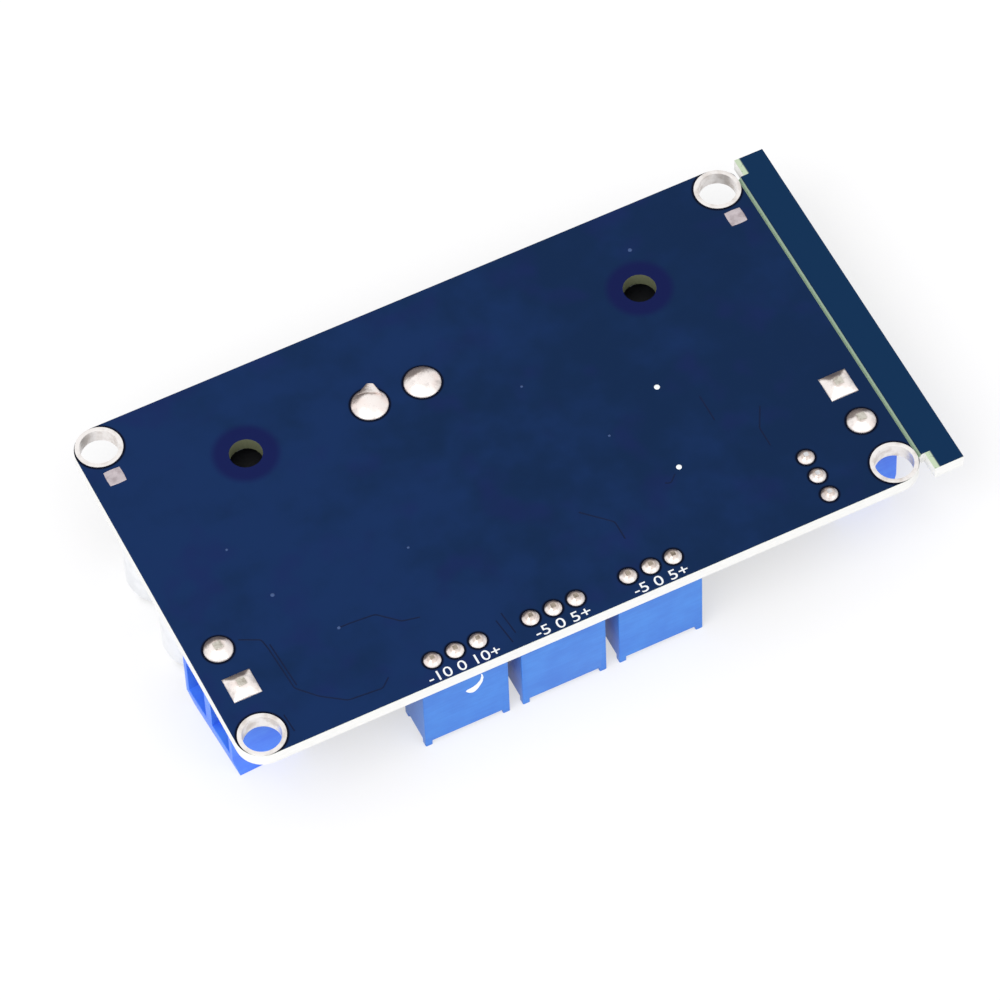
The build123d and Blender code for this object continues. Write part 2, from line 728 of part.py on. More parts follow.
lead_tip = board_thickness + fine_joint_height + pin_tip
half_lead = status_lead / 2
with BuildPart() as status_lamp_leads:
    with BuildSketch(Plane(origin=(status_x, status_y, component_face), x_dir=(0, 1, 0), z_dir=(1, 0, 0))):
        with Locations((0, (lead_tip - status_standoff) / 2)):
            Rectangle(status_lead, lead_tip + status_standoff)
        for way in (-1, 1):
            with BuildLine():
                Polyline(
                    (way * (fine_pitch + half_lead), lead_tip),
                    (way * (fine_pitch + half_lead), -status_lead_bend),
                    (way * (status_lead_spread + half_lead), -status_standoff),
                    (way * (status_lead_spread - half_lead), -status_standoff),
                    (way * (fine_pitch - half_lead), -status_lead_bend),
                    (way * (fine_pitch - half_lead), lead_tip),
                    close=True,
                )
            make_face()
    extrude(amount=half_lead, both=True)
status_lamp_leads.part.label = "status_lamp_leads"
export_step(status_lamp_leads.part, "parts/status_lamp_leads.step")

# Two moulded chips on gull-wing leads
for name, size, place, a_side, pitch, along_y in (
    ("controller", controller_size, controller_place, controller_leads_a_side, controller_lead_pitch, True),
    ("amplifier", amplifier_size, amplifier_place, amplifier_leads_a_side, amplifier_lead_pitch, False),
):
    length_x, length_y, height = size
    frame = below(*spread([place])[0])
    with BuildPart() as chip:
        with BuildSketch(frame.offset(chip_lift)):
            Rectangle(length_x, length_y)
        extrude(amount=height - chip_lift)
    chip.part.label = f"{name}_chip"
    export_step(chip.part, f"parts/{chip.part.label}.step")

    half_body = (length_x if along_y else length_y) / 2
    mid_height = height / 2
    shin = half_body + lead_reach / 2
    with BuildPart() as chip_leads:
        for way in (-1, 1):
            out = frame.x_dir * way if along_y else frame.y_dir * way
            for k in range(a_side):
                along = (k - (a_side - 1) / 2) * pitch
                spot = Vector(0, along, 0) if along_y else Vector(along, 0, 0)
                lead_plane = Plane(frame.from_local_coords(spot), x_dir=out, z_dir=out.cross(frame.z_dir))
                with BuildSketch(lead_plane):
                    with BuildLine():
                        Polyline(
                            (half_body, mid_height),
                            (shin - lead_thickness, 0),
                            (half_body + lead_reach, 0),
                            (half_body + lead_reach, lead_thickness),
                            (shin, lead_thickness),
                            (half_body, mid_height + lead_thickness),
                            close=True,
                        )
                    make_face()
                extrude(amount=pitch * lead_width_share / 2, both=True)
    chip_leads.part.label = f"{name}_leads"
    export_step(chip_leads.part, f"parts/{chip_leads.part.label}.step")


def blocks(name, size, places):
    """A set of like moulded blocks that lie flat on the component side."""
    with BuildPart() as block_set:
        with BuildSketch(underside):
            with Locations(*[(x, -y) for x, y in places]):
                Rectangle(size[0], size[1])
        extrude(amount=size[2])
    block_set.part.label = name
    export_step(block_set.part, f"parts/{name}.step")


# The chip resistors stand halfway between the winding and the trimmers.
winding_front = core_y - outer_leg_r - wire_d / 2
resistor_middle_y = (winding_front + trimmer_y + trimmer_thickness / 2) / 2
resistor_places = [
    (
        middle_x + spread_x * resistor_middle_x + (i - (resistor_grid[0] - 1) / 2) * resistor_spacing[0],
        resistor_middle_y + (j - (resistor_grid[1] - 1) / 2) * resistor_spacing[1],
    )
    for i in range(resistor_grid[0])
    for j in range(resistor_grid[1])
]
shunts = spread(shunt_places)
ceramics = spread(ceramic_places)
diodes = spread(diode_places)
fuses = spread([fuse_place])
lamps = spread([lamp_place])
blocks("shunt_resistors", shunt_size, shunts)
blocks("ceramic_capacitors", ceramic_size, ceramics)
blocks("chip_resistors", resistor_size, resistor_places)
blocks("input_fuse", fuse_size, fuses)
blocks("rectifier_diodes", diode_size, diodes)
blocks("indicator_lamp", lamp_size, lamps)

# Metal ends of the small parts
with BuildPart() as end_caps:
    for size, places, cap, width in (
        (ceramic_size, ceramics, cap_length, ceramic_size[1]),
        (resistor_size, resistor_places, cap_length, resistor_size[1]),
        (shunt_size, shunts, cap_length, shunt_size[1]),
        (fuse_size, fuses, fuse_cap_length, fuse_size[1]),
        (lamp_size, lamps, cap_length, lamp_size[1]),
        (diode_size, diodes, tab_reach, diode_tab_width),
    ):
        with BuildSketch(underside):
            with Locations(*[(x, -y) for x, y in places]):
                with GridLocations(size[0] + cap, 0, 2, 1):
                    Rectangle(cap, width)
        extrude(amount=size[2])
end_caps.part.label = "small_part_end_caps"
export_step(end_caps.part, "parts/small_part_end_caps.step")
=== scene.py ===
"""Looks of a buck-boost converter module that lies solder side up on its tallest parts.

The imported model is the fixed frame. Each sub-assembly below dresses the nodes whose shape is right and
replaces the others with finished pieces, all in metres and in the frame's own axes.
"""
import json
import logging
from dataclasses import dataclass
from enum import Enum
from functools import reduce
from math import asin, cos, degrees, pi, radians, sin, sqrt
from typing import Iterable, Sequence

import bmesh
import bpy
from mathutils import Matrix, Vector, noise

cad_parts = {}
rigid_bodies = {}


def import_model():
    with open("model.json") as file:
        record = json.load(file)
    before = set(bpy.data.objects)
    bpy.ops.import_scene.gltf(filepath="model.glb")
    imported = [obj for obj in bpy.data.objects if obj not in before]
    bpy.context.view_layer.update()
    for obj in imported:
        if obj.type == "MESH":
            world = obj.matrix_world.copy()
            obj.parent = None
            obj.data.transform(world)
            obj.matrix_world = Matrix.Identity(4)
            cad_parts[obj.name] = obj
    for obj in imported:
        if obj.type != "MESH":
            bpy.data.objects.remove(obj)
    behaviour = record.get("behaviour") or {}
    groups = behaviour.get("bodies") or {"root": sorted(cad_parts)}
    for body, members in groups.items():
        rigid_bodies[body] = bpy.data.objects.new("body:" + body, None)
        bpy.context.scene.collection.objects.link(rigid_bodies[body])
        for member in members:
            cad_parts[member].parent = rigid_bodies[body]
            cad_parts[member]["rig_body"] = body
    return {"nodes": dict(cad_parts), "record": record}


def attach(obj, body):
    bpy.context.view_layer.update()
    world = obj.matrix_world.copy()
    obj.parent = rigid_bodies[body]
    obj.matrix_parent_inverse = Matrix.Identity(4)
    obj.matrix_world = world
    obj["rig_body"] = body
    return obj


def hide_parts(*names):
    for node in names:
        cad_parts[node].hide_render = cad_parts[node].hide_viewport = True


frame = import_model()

logging.basicConfig(level=logging.INFO, format="%(message)s")
log = logging.getLogger("converter_module")
# A millimetre in metres, and how near points merge in a copied node and in a spun solid.
MM = 0.001
WELD = 1e-6
FINE_WELD = 1e-7
# How many degrees more an edge turns before it is shaded sharp under a bevel, and the bevel's steps.
BEVEL_EASE = 25.0
BEVEL_STEPS = 2
Place = tuple[float, float]
Spot = tuple[float, float, float]
Colour = tuple[float, float, float, float]
Material = bpy.types.Material
Mesh = bmesh.types.BMesh


def srgb(red: int, green: int, blue: int) -> Colour:
    """Turns a screen colour into Blender's linear colour.

    Args:
        red: The red channel, 0 to 255.
        green: The green channel.
        blue: The blue channel.

    Returns:
        The linear colour with full alpha.
    """
    def linear(channel: int) -> float:
        """Turns one channel of 0 to 255 into linear light."""
        share = channel / 255
        return share / 12.92 if share <= 0.04045 else ((share + 0.055) / 1.055) ** 2.4
    return (linear(red), linear(green), linear(blue), 1.0)


class Wire:
    """An output socket that takes part in Python arithmetic, each operator adding a Math node."""

    def __init__(self, graph: "Graph", socket: bpy.types.NodeSocket) -> None:
        """Wraps a socket of the graph's node tree."""
        self.graph = graph
        self.socket = socket

    def _math(self, operation: str, *values: "Wire | float") -> "Wire":
        """Adds one Math node and returns its output.

        Args:
            operation: The Math node's operation.
            values: Its inputs in order, as wires or numbers.

        Returns:
            The node's output as a wire.
        """
        return self.graph.node("ShaderNodeMath", {"operation": operation}, dict(enumerate(values)))[0]

    def __add__(self, other: "Wire | float") -> "Wire":
        """Adds."""
        return self._math("ADD", self, other)

    def __radd__(self, other: float) -> "Wire":
        """Adds to a number."""
        return self._math("ADD", other, self)

    def __sub__(self, other: "Wire | float") -> "Wire":
        """Subtracts."""
        return self._math("SUBTRACT", self, other)

    def __rsub__(self, other: float) -> "Wire":
        """Subtracts from a number."""
        return self._math("SUBTRACT", other, self)

    def __mul__(self, other: "Wire | float") -> "Wire":
        """Multiplies."""
        return self._math("MULTIPLY", self, other)

    def __rmul__(self, other: float) -> "Wire":
        """Multiplies a number."""
        return self._math("MULTIPLY", other, self)

    def __gt__(self, other: "Wire | float") -> "Wire":
        """Gives 1 where this is the greater."""
        return self._math("GREATER_THAN", self, other)

    def __lt__(self, other: "Wire | float") -> "Wire":
        """Gives 1 where this is the smaller."""
        return self._math("LESS_THAN", self, other)

    def __abs__(self) -> "Wire":
        """Drops the sign."""
        return self._math("ABSOLUTE", self)

    def least(self, other: "Wire | float") -> "Wire":
        """Takes the smaller of the two."""
        return self._math("MINIMUM", self, other)

    def most(self, other: "Wire | float") -> "Wire":
        """Takes the greater of the two."""
        return self._math("MAXIMUM", self, other)

    def ramp(self, low: float, high: float) -> "Wire":
        """Goes smoothly from 0 to 1.

        Args:
            low: Where it is 0.
            high: Where it is 1, which may be the smaller of the two.

        Returns:
            The share as a wire.
        """
        start, end = (0.0, 1.0) if low < high else (1.0, 0.0)
        return self.graph.node(
            "ShaderNodeMapRange", {"interpolation_type": "SMOOTHSTEP"},
            {0: self, 1: min(low, high), 2: max(low, high), 3: start, 4: end},
        )[0]


class Graph:
    """The node tree of one material or world and the calls that fill it."""

    def __init__(self, name: str, world: bool = False) -> None:
        """Starts an empty node tree.

        Args:
            name: The name of its material or world.
            world: Whether it is a world's.
        """
        self.owner = (bpy.data.worlds if world else bpy.data.materials).new(name)
        self.owner.use_nodes = True
        self.tree = self.owner.node_tree
        self.tree.nodes.clear()

    def node(
        self, kind: str, settings: dict[str, object] | None = None,
        inputs: dict[int | str, "Wire | float | Sequence[float]"] | None = None,
    ) -> list[Wire]:
        """Adds a node, sets its settings, then fills or links its sockets.

        Args:
            kind: The node's type.
            settings: Its properties, which are set first.
            inputs: Values or wires by socket number or name.

        Returns:
            The node's outputs as wires, in order.
        """
        made = self.tree.nodes.new(kind)
        for key, value in (settings or {}).items():
            setattr(made, key, value)
        for key, value in (inputs or {}).items():
            if isinstance(value, Wire):
                self.tree.links.new(value.socket, made.inputs[key])
            else:
                made.inputs[key].default_value = value
        return [Wire(self, socket) for socket in made.outputs]

    def place(self) -> Wire:
        """Gives Object coordinates in millimetres."""
        where = self.node("ShaderNodeTexCoord")[3]
        return self.node("ShaderNodeVectorMath", {"operation": "SCALE"}, {0: where, "Scale": 1 / MM})[0]

    def axes(self, vector: Wire) -> list[Wire]:
        """Splits a vector into its three numbers."""
        return self.node("ShaderNodeSeparateXYZ", None, {0: vector})

    def facing(self) -> Wire:
        """Gives how far the surface faces up, from -1 to 1."""
        return self.axes(self.node("ShaderNodeNewGeometry")[1])[2]

    def far(self, vector: Wire, centre: Spot) -> Wire:
        """Gives the distance from a place in millimetres."""
        return self.node("ShaderNodeVectorMath", {"operation": "DISTANCE"}, {0: vector, 1: centre})[1]

    def noise(self, vector: Wire, scale: float, detail: float = 3.0, rough: float = 0.55) -> Wire:
        """Gives soft noise.

        Args:
            vector: Where it is read.
            scale: Its features per millimetre.
            detail: How many finer layers it has.
            rough: How strong the finer layers are.

        Returns:
            The noise, 0 to 1.
        """
        return self.node("ShaderNodeTexNoise", None, {
            "Vector": vector, "Scale": scale, "Detail": detail, "Roughness": rough,
        })[0]

    def stretch(self, vector: Wire, by: Spot) -> Wire:
        """Multiplies a vector by three numbers."""
        return self.node("ShaderNodeVectorMath", {"operation": "MULTIPLY"}, {0: vector, 1: by})[0]

    def mix(self, share: Wire | float, low: Wire | Colour, high: Wire | Colour) -> Wire:
        """Blends two colours.

        Args:
            share: How much of the second there is, 0 to 1.
            low: The first colour.
            high: The second colour.

        Returns:
            The blend.
        """
        return self.node("ShaderNodeMix", {"data_type": "RGBA", "clamp_factor": True}, {
            0: share, 6: low, 7: high,
        })[2]

    def bump(self, height: Wire, strength: float, distance_mm: float) -> Wire:
        """Turns a height into a normal.

        Args:
            height: The height, 0 to 1.
            strength: How much of it counts.
            distance_mm: How high 1 is, in millimetres.

        Returns:
            The normal.
        """
        return self.node("ShaderNodeBump", None, {
            "Strength": strength, "Distance": distance_mm * MM, "Height": height,
        })[0]

    def finish(self, inputs: dict[str, "Wire | float | Sequence[float]"]) -> Material:
        """Ends the tree in one Principled shader.

        Args:
            inputs: Its sockets by name.

        Returns:
            The material.
        """
        shader = self.node("ShaderNodeBsdfPrincipled", None, inputs)[0]
        self.node("ShaderNodeOutputMaterial", None, {0: shader})
        return self.owner


@dataclass(frozen=True)
class Plastic:
    """A moulded plastic: a colour that clouds a little, a fine grain and faint flow marks."""

    name: str
    colour: Colour
    deep: Colour
    roughness: float = 0.42
    grain: float = 0.25
    coat: float = 0.0
    specular: float = 0.4

    def build(self) -> Material:
        """Makes the material.

        Returns:
            The material.
        """
        g = Graph(self.name)
        where = g.place()
        cloud = g.noise(where, 0.35, 4.0)
        fine = g.noise(where, 9.0, 3.0)
        flow = g.noise(g.stretch(where, (0.25, 0.25, 2.5)), 1.1, 2.0)
        shade = (cloud * 0.6 + flow * 0.4).ramp(0.32, 0.72)
        return g.finish({
            "Base Color": g.mix(shade, self.deep, self.colour),
            "Roughness": fine * 0.16 + (self.roughness - 0.08),
            "Normal": g.bump(fine, self.grain, 0.02),
            "Coat Weight": self.coat,
            "Coat Roughness": 0.18,
            "Specular IOR Level": self.specular,
        })


@dataclass(frozen=True)
class Metal:
    """A plain or plated metal with smears, dull patches and fine scratches."""

    name: str
    colour: Colour
    dull: Colour
    roughness: float = 0.25
    patch_scale: float = 1.6
    scratch: Spot = (1.0, 1.0, 1.0)
    metallic: float = 1.0

    def build(self) -> Material:
        """Makes the material.

        Returns:
            The material.
        """
        g = Graph(self.name)
        where = g.place()
        patch = g.noise(where, self.patch_scale, 4.0).ramp(0.42, 0.7)
        fine = g.noise(g.stretch(where, self.scratch), 7.0, 4.0)
        return g.finish({
            "Base Color": g.mix(patch * 0.8 + fine * 0.2, self.colour, self.dull),
            "Metallic": self.metallic,
            "Roughness": patch * 0.2 + fine * 0.12 + (self.roughness - 0.06),
            "Normal": g.bump(fine, 0.2, 0.015),
        })


@dataclass(frozen=True)
class Solder:
    """Reflowed solder: cream bright, with grey frosted patches, dried flux round the lead's tip, and a
    painted dark reflection on the faces turned towards +y.
    """

    name: str
    tip_from: float = 20.0
    bright: Colour = srgb(240, 232, 228)
    frost: Colour = srgb(196, 188, 184)
    blush: Colour = srgb(236, 214, 206)
    tip: Colour = srgb(176, 158, 146)
    # The colour of the painted dark reflection on the faces turned towards +y.
    painted_dark_reflection: Colour = srgb(98, 84, 78)

    def build(self) -> Material:
        """Makes the material.

        Returns:
            The material.
        """
        g = Graph(self.name)
        where = g.place()
        z = g.axes(where)[2]
        patch = g.noise(where, 0.9, 3.0).ramp(0.5, 0.72)
        pink = g.noise(where, 0.55, 2.0).ramp(0.45, 0.7)
        fine = g.noise(where, 5.0, 4.0)
        base = g.mix(pink * 0.5, self.bright, self.blush)
        base = g.mix(patch * 0.8, base, self.frost)
        # Painted reflection: faces turned towards +y are darkened, as if they mirrored something dark.
        painted_reflection_side = g.axes(g.node("ShaderNodeNewGeometry")[1])[1] + (fine - 0.5) * 0.3
        base = g.mix(painted_reflection_side.ramp(0.12, 0.42) * 0.9, base, self.painted_dark_reflection)
        return g.finish({
            "Base Color": g.mix(z.ramp(self.tip_from - 0.05, self.tip_from + 0.08) * 0.6, base, self.tip),
            "Metallic": 0.45,
            "Roughness": patch * 0.2 + fine * 0.1 + 0.24,
            "Normal": g.bump(fine * 0.3 + patch * 0.7, 0.35, 0.04),
        })


@dataclass(frozen=True)
class Laminate:
    """The bare board: blue mask on both faces, glass laminate on its edges, groove and hole walls."""

    groove_x: float
    middle_x: float
    sink_half: float
    sink_y: float
    core_at: Place
    rings: tuple[Spot, ...]
    spare: tuple[Place, Place]
    notch_y: float = 19.85
    board_top: float = 11.6
    name: str = "masked_laminate"
    mask: Colour = srgb(18, 43, 86)
    mask_deep: Colour = srgb(13, 37, 72)
    bare: Colour = srgb(16, 20, 72)
    shadow: Colour = srgb(2, 8, 30)
    rail: Colour = srgb(11, 44, 78)
    edge: Colour = srgb(238, 237, 235)
    groove: Colour = srgb(162, 182, 160)
    chip: Colour = srgb(188, 204, 176)
    violet: Colour = srgb(22, 34, 84)
    raw: Colour = srgb(108, 112, 88)
    lined: Colour = srgb(132, 118, 106)
    print: Colour = srgb(232, 234, 236)
    halo: Place = (4.0, 2.9)
    raw_reach: Place = (3.0, 2.6)
    clearance_shadow: Place = (0.34, 0.14)
    chip_reach: Place = (1.25, 1.05)
    groove_half: Place = (0.5, 0.4)
    score_half: Place = (0.17, 0.24)
    spare_hole: float = 0.5
    core_print: float = 10.9
    sink_print: Place = (6.3, 9.75)
    can_places: Spot = (33.5, 5.3, 4.5)
    can_print: float = 4.35
    line: Place = (0.12, 0.08)
    fine_line: Place = (0.1, 0.06)

    def _nearest(self, g: Graph, flat: Wire, rings: Iterable[Spot]) -> Wire:
        """Measures to the edge of the nearest round pad or hole.

        Args:
            g: The material's graph.
            flat: The place on the board.
            rings: The pads or holes as (x, y, radius).

        Returns:
            The distance in millimetres, negative inside.
        """
        return reduce(Wire.least, (g.far(flat, (x, y, 0.0)) - radius for x, y, radius in rings))

    def _outlines(self, g: Graph, flat: Wire, x: Wire, y: Wire) -> Wire:
        """Draws the outlines that are printed round the parts of the component side.

        Args:
            g: The material's graph.
            flat: The place on the board.
            x: How far along the board that is.
            y: How far across the board that is.

        Returns:
            1 on the print and 0 off it.
        """
        ring = abs(g.far(flat, (*self.core_at, 0.0)) - self.core_print).ramp(*self.line)
        sink_u = abs(abs(x - self.middle_x) - self.sink_half) - self.sink_print[0]
        sink_v = abs(y - self.sink_y) - self.sink_print[1]
        sinks = abs(sink_u.most(sink_v)).ramp(*self.line)
        along, across, apart = self.can_places
        can_u = abs(abs(x - self.middle_x) - along) - self.can_print
        can_v = abs(abs(y - across) - apart) - self.can_print
        cans = abs(can_u.most(can_v)).ramp(*self.fine_line)
        return ring.most(sinks).most(cans)

    def build(self) -> Material:
        """Makes the material.

        Returns:
            The material.
        """
        g = Graph(self.name)
        where = g.place()
        x, y, z = g.axes(where)
        facing = g.facing()
        upright = abs(facing)
        flat = g.stretch(where, (1.0, 1.0, 0.0))
        cloud = g.noise(where, 0.1, 5.0)
        blotch = g.noise(where, 0.42, 3.0)
        weave = g.noise(g.stretch(where, (3.0, 3.0, 1.0)), 1.0, 2.0)
        fine = g.noise(where, 3.5, 4.0)
        sinks = [(self.middle_x + i * self.sink_half, self.sink_y, 0.0) for i in (-1, 1)]
        sink = self._nearest(g, flat, sinks)
        clear = self._nearest(g, flat, self.rings)
        holes = self._nearest(g, flat, [(sx, sy, self.spare_hole) for sx, sy in self.spare])
        from_groove = x - self.groove_x
        # The mask's tone also runs lighter towards -x.
        tone = cloud * 0.75 + blotch * 0.25 + (x * -0.004)
        mask = g.mix(tone.ramp(0.34, 0.68), self.mask_deep, self.mask)
        mask = g.mix(g.noise(where, 0.16, 2.0).ramp(0.52, 0.72) * 0.5, mask, self.violet)
        mask = g.mix(sink.ramp(*self.halo) * 0.8, mask, self.bare)
        # A dark ring round each round pad: the mask's clearance, darkened as a painted shadow at the pad's
        # foot.
        mask = g.mix(clear.ramp(*self.clearance_shadow), mask, self.shadow)
        mask = g.mix(from_groove.ramp(-0.1, 0.1), mask, self.rail)
        chips = (abs(y) > self.notch_y) * from_groove.ramp(*self.chip_reach) * (from_groove > 0.0)
        mask = g.mix(chips * fine.ramp(0.3, 0.42) * (facing > 0.5), mask, self.chip)
        mask = g.mix(self._outlines(g, flat, x, y) * (facing < -0.5), mask, self.print)
        fibre = g.noise(g.stretch(where, (1.2, 1.2, 14.0)), 1.0, 2.0)
        cut = g.mix(fibre.ramp(0.35, 0.8) * 0.15, self.edge, self.groove)
        cut = g.mix((z - self.board_top).ramp(-0.16, -0.04) * 0.3, cut, self.chip)
        cut = g.mix(sink.ramp(*self.raw_reach), cut, self.raw)
        cut = g.mix(holes.ramp(0.4, 0.25), cut, self.lined)
        off_groove = abs(from_groove)
        scored = g.mix(off_groove.ramp(*self.score_half), self.groove, self.mask_deep)
        cut = g.mix(off_groove.ramp(*self.groove_half) * (upright > 0.3), cut, scored)
        face = upright > 0.85
        ridge = sink.ramp(3.3, 3.5) * sink.ramp(3.8, 3.6)
        height = weave * 0.22 + clear.ramp(0.22, 0.34) * 0.5 + ridge * 0.4 + fine * 0.1
        return g.finish({
            "Base Color": g.mix(face, cut, mask),
            "Roughness": face * (fine * 0.14 - 0.26) + 0.62,
            "Normal": g.bump(height, 0.3, 0.03),
            "Specular IOR Level": 0.05,
        })


@dataclass(frozen=True)
class Paint:
    """A flat printed paint with a faint tooth."""

    name: str
    colour: Colour
    roughness: float = 0.6

    def build(self) -> Material:
        """Makes the material.

        Returns:
            The material.
        """
        g = Graph(self.name)
        fine = g.noise(g.place(), 5.0, 3.0)
        grey = tuple(c * 0.9 for c in self.colour[:3]) + (1.0,)
        return g.finish({
            "Base Color": g.mix(fine.ramp(0.35, 0.8), self.colour, grey),
            "Roughness": fine * 0.1 + self.roughness,
            "Normal": g.bump(fine, 0.1, 0.01),
            "Specular IOR Level": 0.2,
        })


@dataclass(frozen=True)
class Enamel:
    """Copper wire under clear enamel, a little darker in places."""

    name: str = "enamelled_wire"
    light: Colour = srgb(206, 116, 62)
    dark: Colour = srgb(158, 70, 32)

    def build(self) -> Material:
        """Makes the material.

        Returns:
            The material.
        """
        g = Graph(self.name)
        where = g.place()
        tone = g.noise(where, 0.5, 3.0).ramp(0.35, 0.7)
        fine = g.noise(where, 8.0, 3.0)
        return g.finish({
            "Base Color": g.mix(tone, self.light, self.dark),
            "Metallic": 0.85,
            "Roughness": fine * 0.12 + 0.22,
            "Normal": g.bump(fine, 0.12, 0.02),
            "Coat Weight": tone * 0.4 + 0.4,
            "Coat Roughness": 0.08,
        })


@dataclass(frozen=True)
class DrawnCan:
    """Drawn aluminium under a printed end: a black polarity patch and a pressed cross that can vent."""

    middle_x: float
    half_x: float
    rows: Place
    level: float
    name: str = "drawn_can"
    light: Colour = srgb(246, 247, 249)
    grey: Colour = srgb(228, 230, 233)
    patch: Colour = srgb(34, 34, 38)
    patch_from: float = -1.5
    cross_reach: Place = (2.5, 2.3)
    cross_half: Place = (0.16, 0.06)

    def build(self) -> Material:
        """Makes the material.

        Returns:
            The material.
        """
        g = Graph(self.name)
        where = g.place()
        x, y, z = g.axes(where)
        near, far = sorted(self.rows)
        u = x - (self.middle_x - self.half_x) - (x > self.middle_x) * (2 * self.half_x)
        v = y - near - (y > (near + far) / 2) * (far - near)
        inside = abs(u).most(abs(v)).ramp(*self.cross_reach)
        end = z < self.level
        cross = abs(u).least(abs(v)).ramp(*self.cross_half) * inside * end
        fine = g.noise(g.stretch(where, (1.0, 1.0, 14.0)), 2.4, 4.0)
        smear = g.noise(where, 0.5, 3.0).ramp(0.4, 0.7)
        printed = end * (v < self.patch_from)
        return g.finish({
            "Base Color": g.mix(printed, g.mix(smear * 0.5 + fine * 0.2, self.light, self.grey), self.patch),
            "Metallic": 0.7 - printed * 0.6,
            "Roughness": smear * 0.1 + fine * 0.08 + 0.32,
            "Normal": g.bump(fine * 0.02 - cross, 0.5, 0.12),
        })


def finished(
    name: str, bm: Mesh, material: Material, body: str, slot: str, replaces: Sequence[str] = (),
    bevel_mm: float = 0.0, crease: float = 35.0,
) -> bpy.types.Object:
    """Turns a mesh being built into a piece of the scene that rides on a body.

    Args:
        name: The piece's name.
        bm: Its mesh in metres, in the frame's axes.
        material: Its finish.
        body: The body that it rides on.
        slot: The record's material slot that it stands for; not used.
        replaces: The nodes that it stands for.
        bevel_mm: The width of a bevel on its sharp edges, or 0 for none.
        crease: The angle in degrees past which an edge stays sharp.

    Returns:
        The piece.
    """
    bmesh.ops.recalc_face_normals(bm, faces=bm.faces)
    mesh = bpy.data.meshes.new(name)
    bm.to_mesh(mesh)
    bm.free()
    piece = bpy.data.objects.new(name, mesh)
    bpy.context.scene.collection.objects.link(piece)
    mesh.materials.append(material)
    mesh.shade_smooth()
    mesh.set_sharp_from_angle(angle=radians(crease + BEVEL_EASE if bevel_mm else crease))
    if bevel_mm:
        soft = piece.modifiers.new("soft_edges", "BEVEL")
        soft.width = bevel_mm * MM
        soft.segments = BEVEL_STEPS
        soft.limit_method = "ANGLE"
        soft.angle_limit = radians(crease)
        soft.use_clamp_overlap = True
        soft.harden_normals = True
    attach(piece, body)
    if replaces:
        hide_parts(*replaces)
    log.info("%s: %d faces on %s", name, len(mesh.polygons), body)
    return piece


def copy_of(node: str) -> Mesh:
    """Copies a node's mesh, merges its loose triangles and joins its flat faces.

    Args:
        node: The node's name.

    Returns:
        The copy as a mesh being built.
    """
    bm = bmesh.new()
    bm.from_mesh(frame["nodes"][node].data)
    bmesh.ops.remove_doubles(bm, verts=bm.verts, dist=WELD)
    bmesh.ops.dissolve_limit(
        bm, angle_limit=radians(1), use_dissolve_boundaries=False, verts=bm.verts, edges=bm.edges
    )
    return bm


def body_of(node: str) -> str:
    """Gives the name of the body that carries a node."""
    return frame["nodes"][node]["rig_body"]


def slot_of(node: str) -> str:
    """Gives the record's material slot of a node."""
    return next(part["material_slot"] for part in frame["record"]["subparts"] if part["node"] == node)


def dress(node: str, material: Material) -> None:
    """Gives a node that stays a better material.

    Args:
        node: The node's name.
        material: Its new finish.
    """
    mesh = frame["nodes"][node].data
    mesh.materials.clear()
    mesh.materials.append(material)


def softened(node: str, material: Material, bevel_mm: float) -> bpy.types.Object:
    """Replaces a node by the same form with rounded edges.

    Args:
        node: The node's name.
        material: The piece's finish.
        bevel_mm: The width of the rounding.

    Returns:
        The new piece.
    """
    return finished(
        f"{node}_finished", copy_of(node), material, body_of(node), slot_of(node), [node], bevel_mm=bevel_mm
    )


def turned(bm: Mesh, profile: Sequence[Place], centre: Vector, steps: int = 32) -> list[bmesh.types.BMVert]:
    """Spins a profile in millimetres of (radius, height) about the upright axis through a centre.

    Args:
        bm: The mesh that gets the new solid.
        profile: Points from axis to axis, or closed on itself.
        centre: Where the axis stands and the heights start, in metres.
        steps: How many steps the turn takes.

    Returns:
        The new vertices.
    """
    before = set(bm.verts)
    line = [bm.verts.new((centre.x + r * MM, centre.y, centre.z + z * MM)) for r, z in profile]
    edges = [bm.edges.new(pair) for pair in zip(line, line[1:])]
    bmesh.ops.spin(
        bm, geom=line + edges, cent=centre, axis=(0, 0, 1), angle=2 * pi, steps=steps, use_merge=True,
        use_normal_flip=False, use_duplicate=False,
    )
    new = [v for v in bm.verts if v not in before]
    bmesh.ops.remove_doubles(bm, verts=new, dist=FINE_WELD)
    return [v for v in bm.verts if v not in before]


def swept(bm: Mesh, route: Sequence[Vector], width_mm: float, sides: int = 4) -> None:
    """Adds a round rod along a route, made by a bevelled curve.

    Args:
        bm: The mesh that gets it.
        route: Its points in metres.
        width_mm: Its diameter.
        sides: The curve's bevel resolution.
    """
    curve = bpy.data.curves.new("route", "CURVE")
    curve.dimensions = "3D"
    curve.bevel_depth = width_mm / 2 * MM
    curve.bevel_resolution = sides
    curve.use_fill_caps = True
    line = curve.splines.new("POLY")
    line.points.add(len(route) - 1)
    for point, spot in zip(line.points, route):
        point.co = (*spot, 1.0)
    add_made(bm, curve)


def add_made(bm: Mesh, curve: bpy.types.Curve) -> None:
    """Adds the mesh that a curve or text makes, and clears the curve away.

    Args:
        bm: The mesh that gets it.
        curve: The curve or text.
    """
    holder = bpy.data.objects.new("made", curve)
    bpy.context.scene.collection.objects.link(holder)
    mesh = bpy.data.meshes.new_from_object(holder)
    bm.from_mesh(mesh)
    bpy.data.objects.remove(holder)
    bpy.data.curves.remove(curve)
    bpy.data.meshes.remove(mesh)


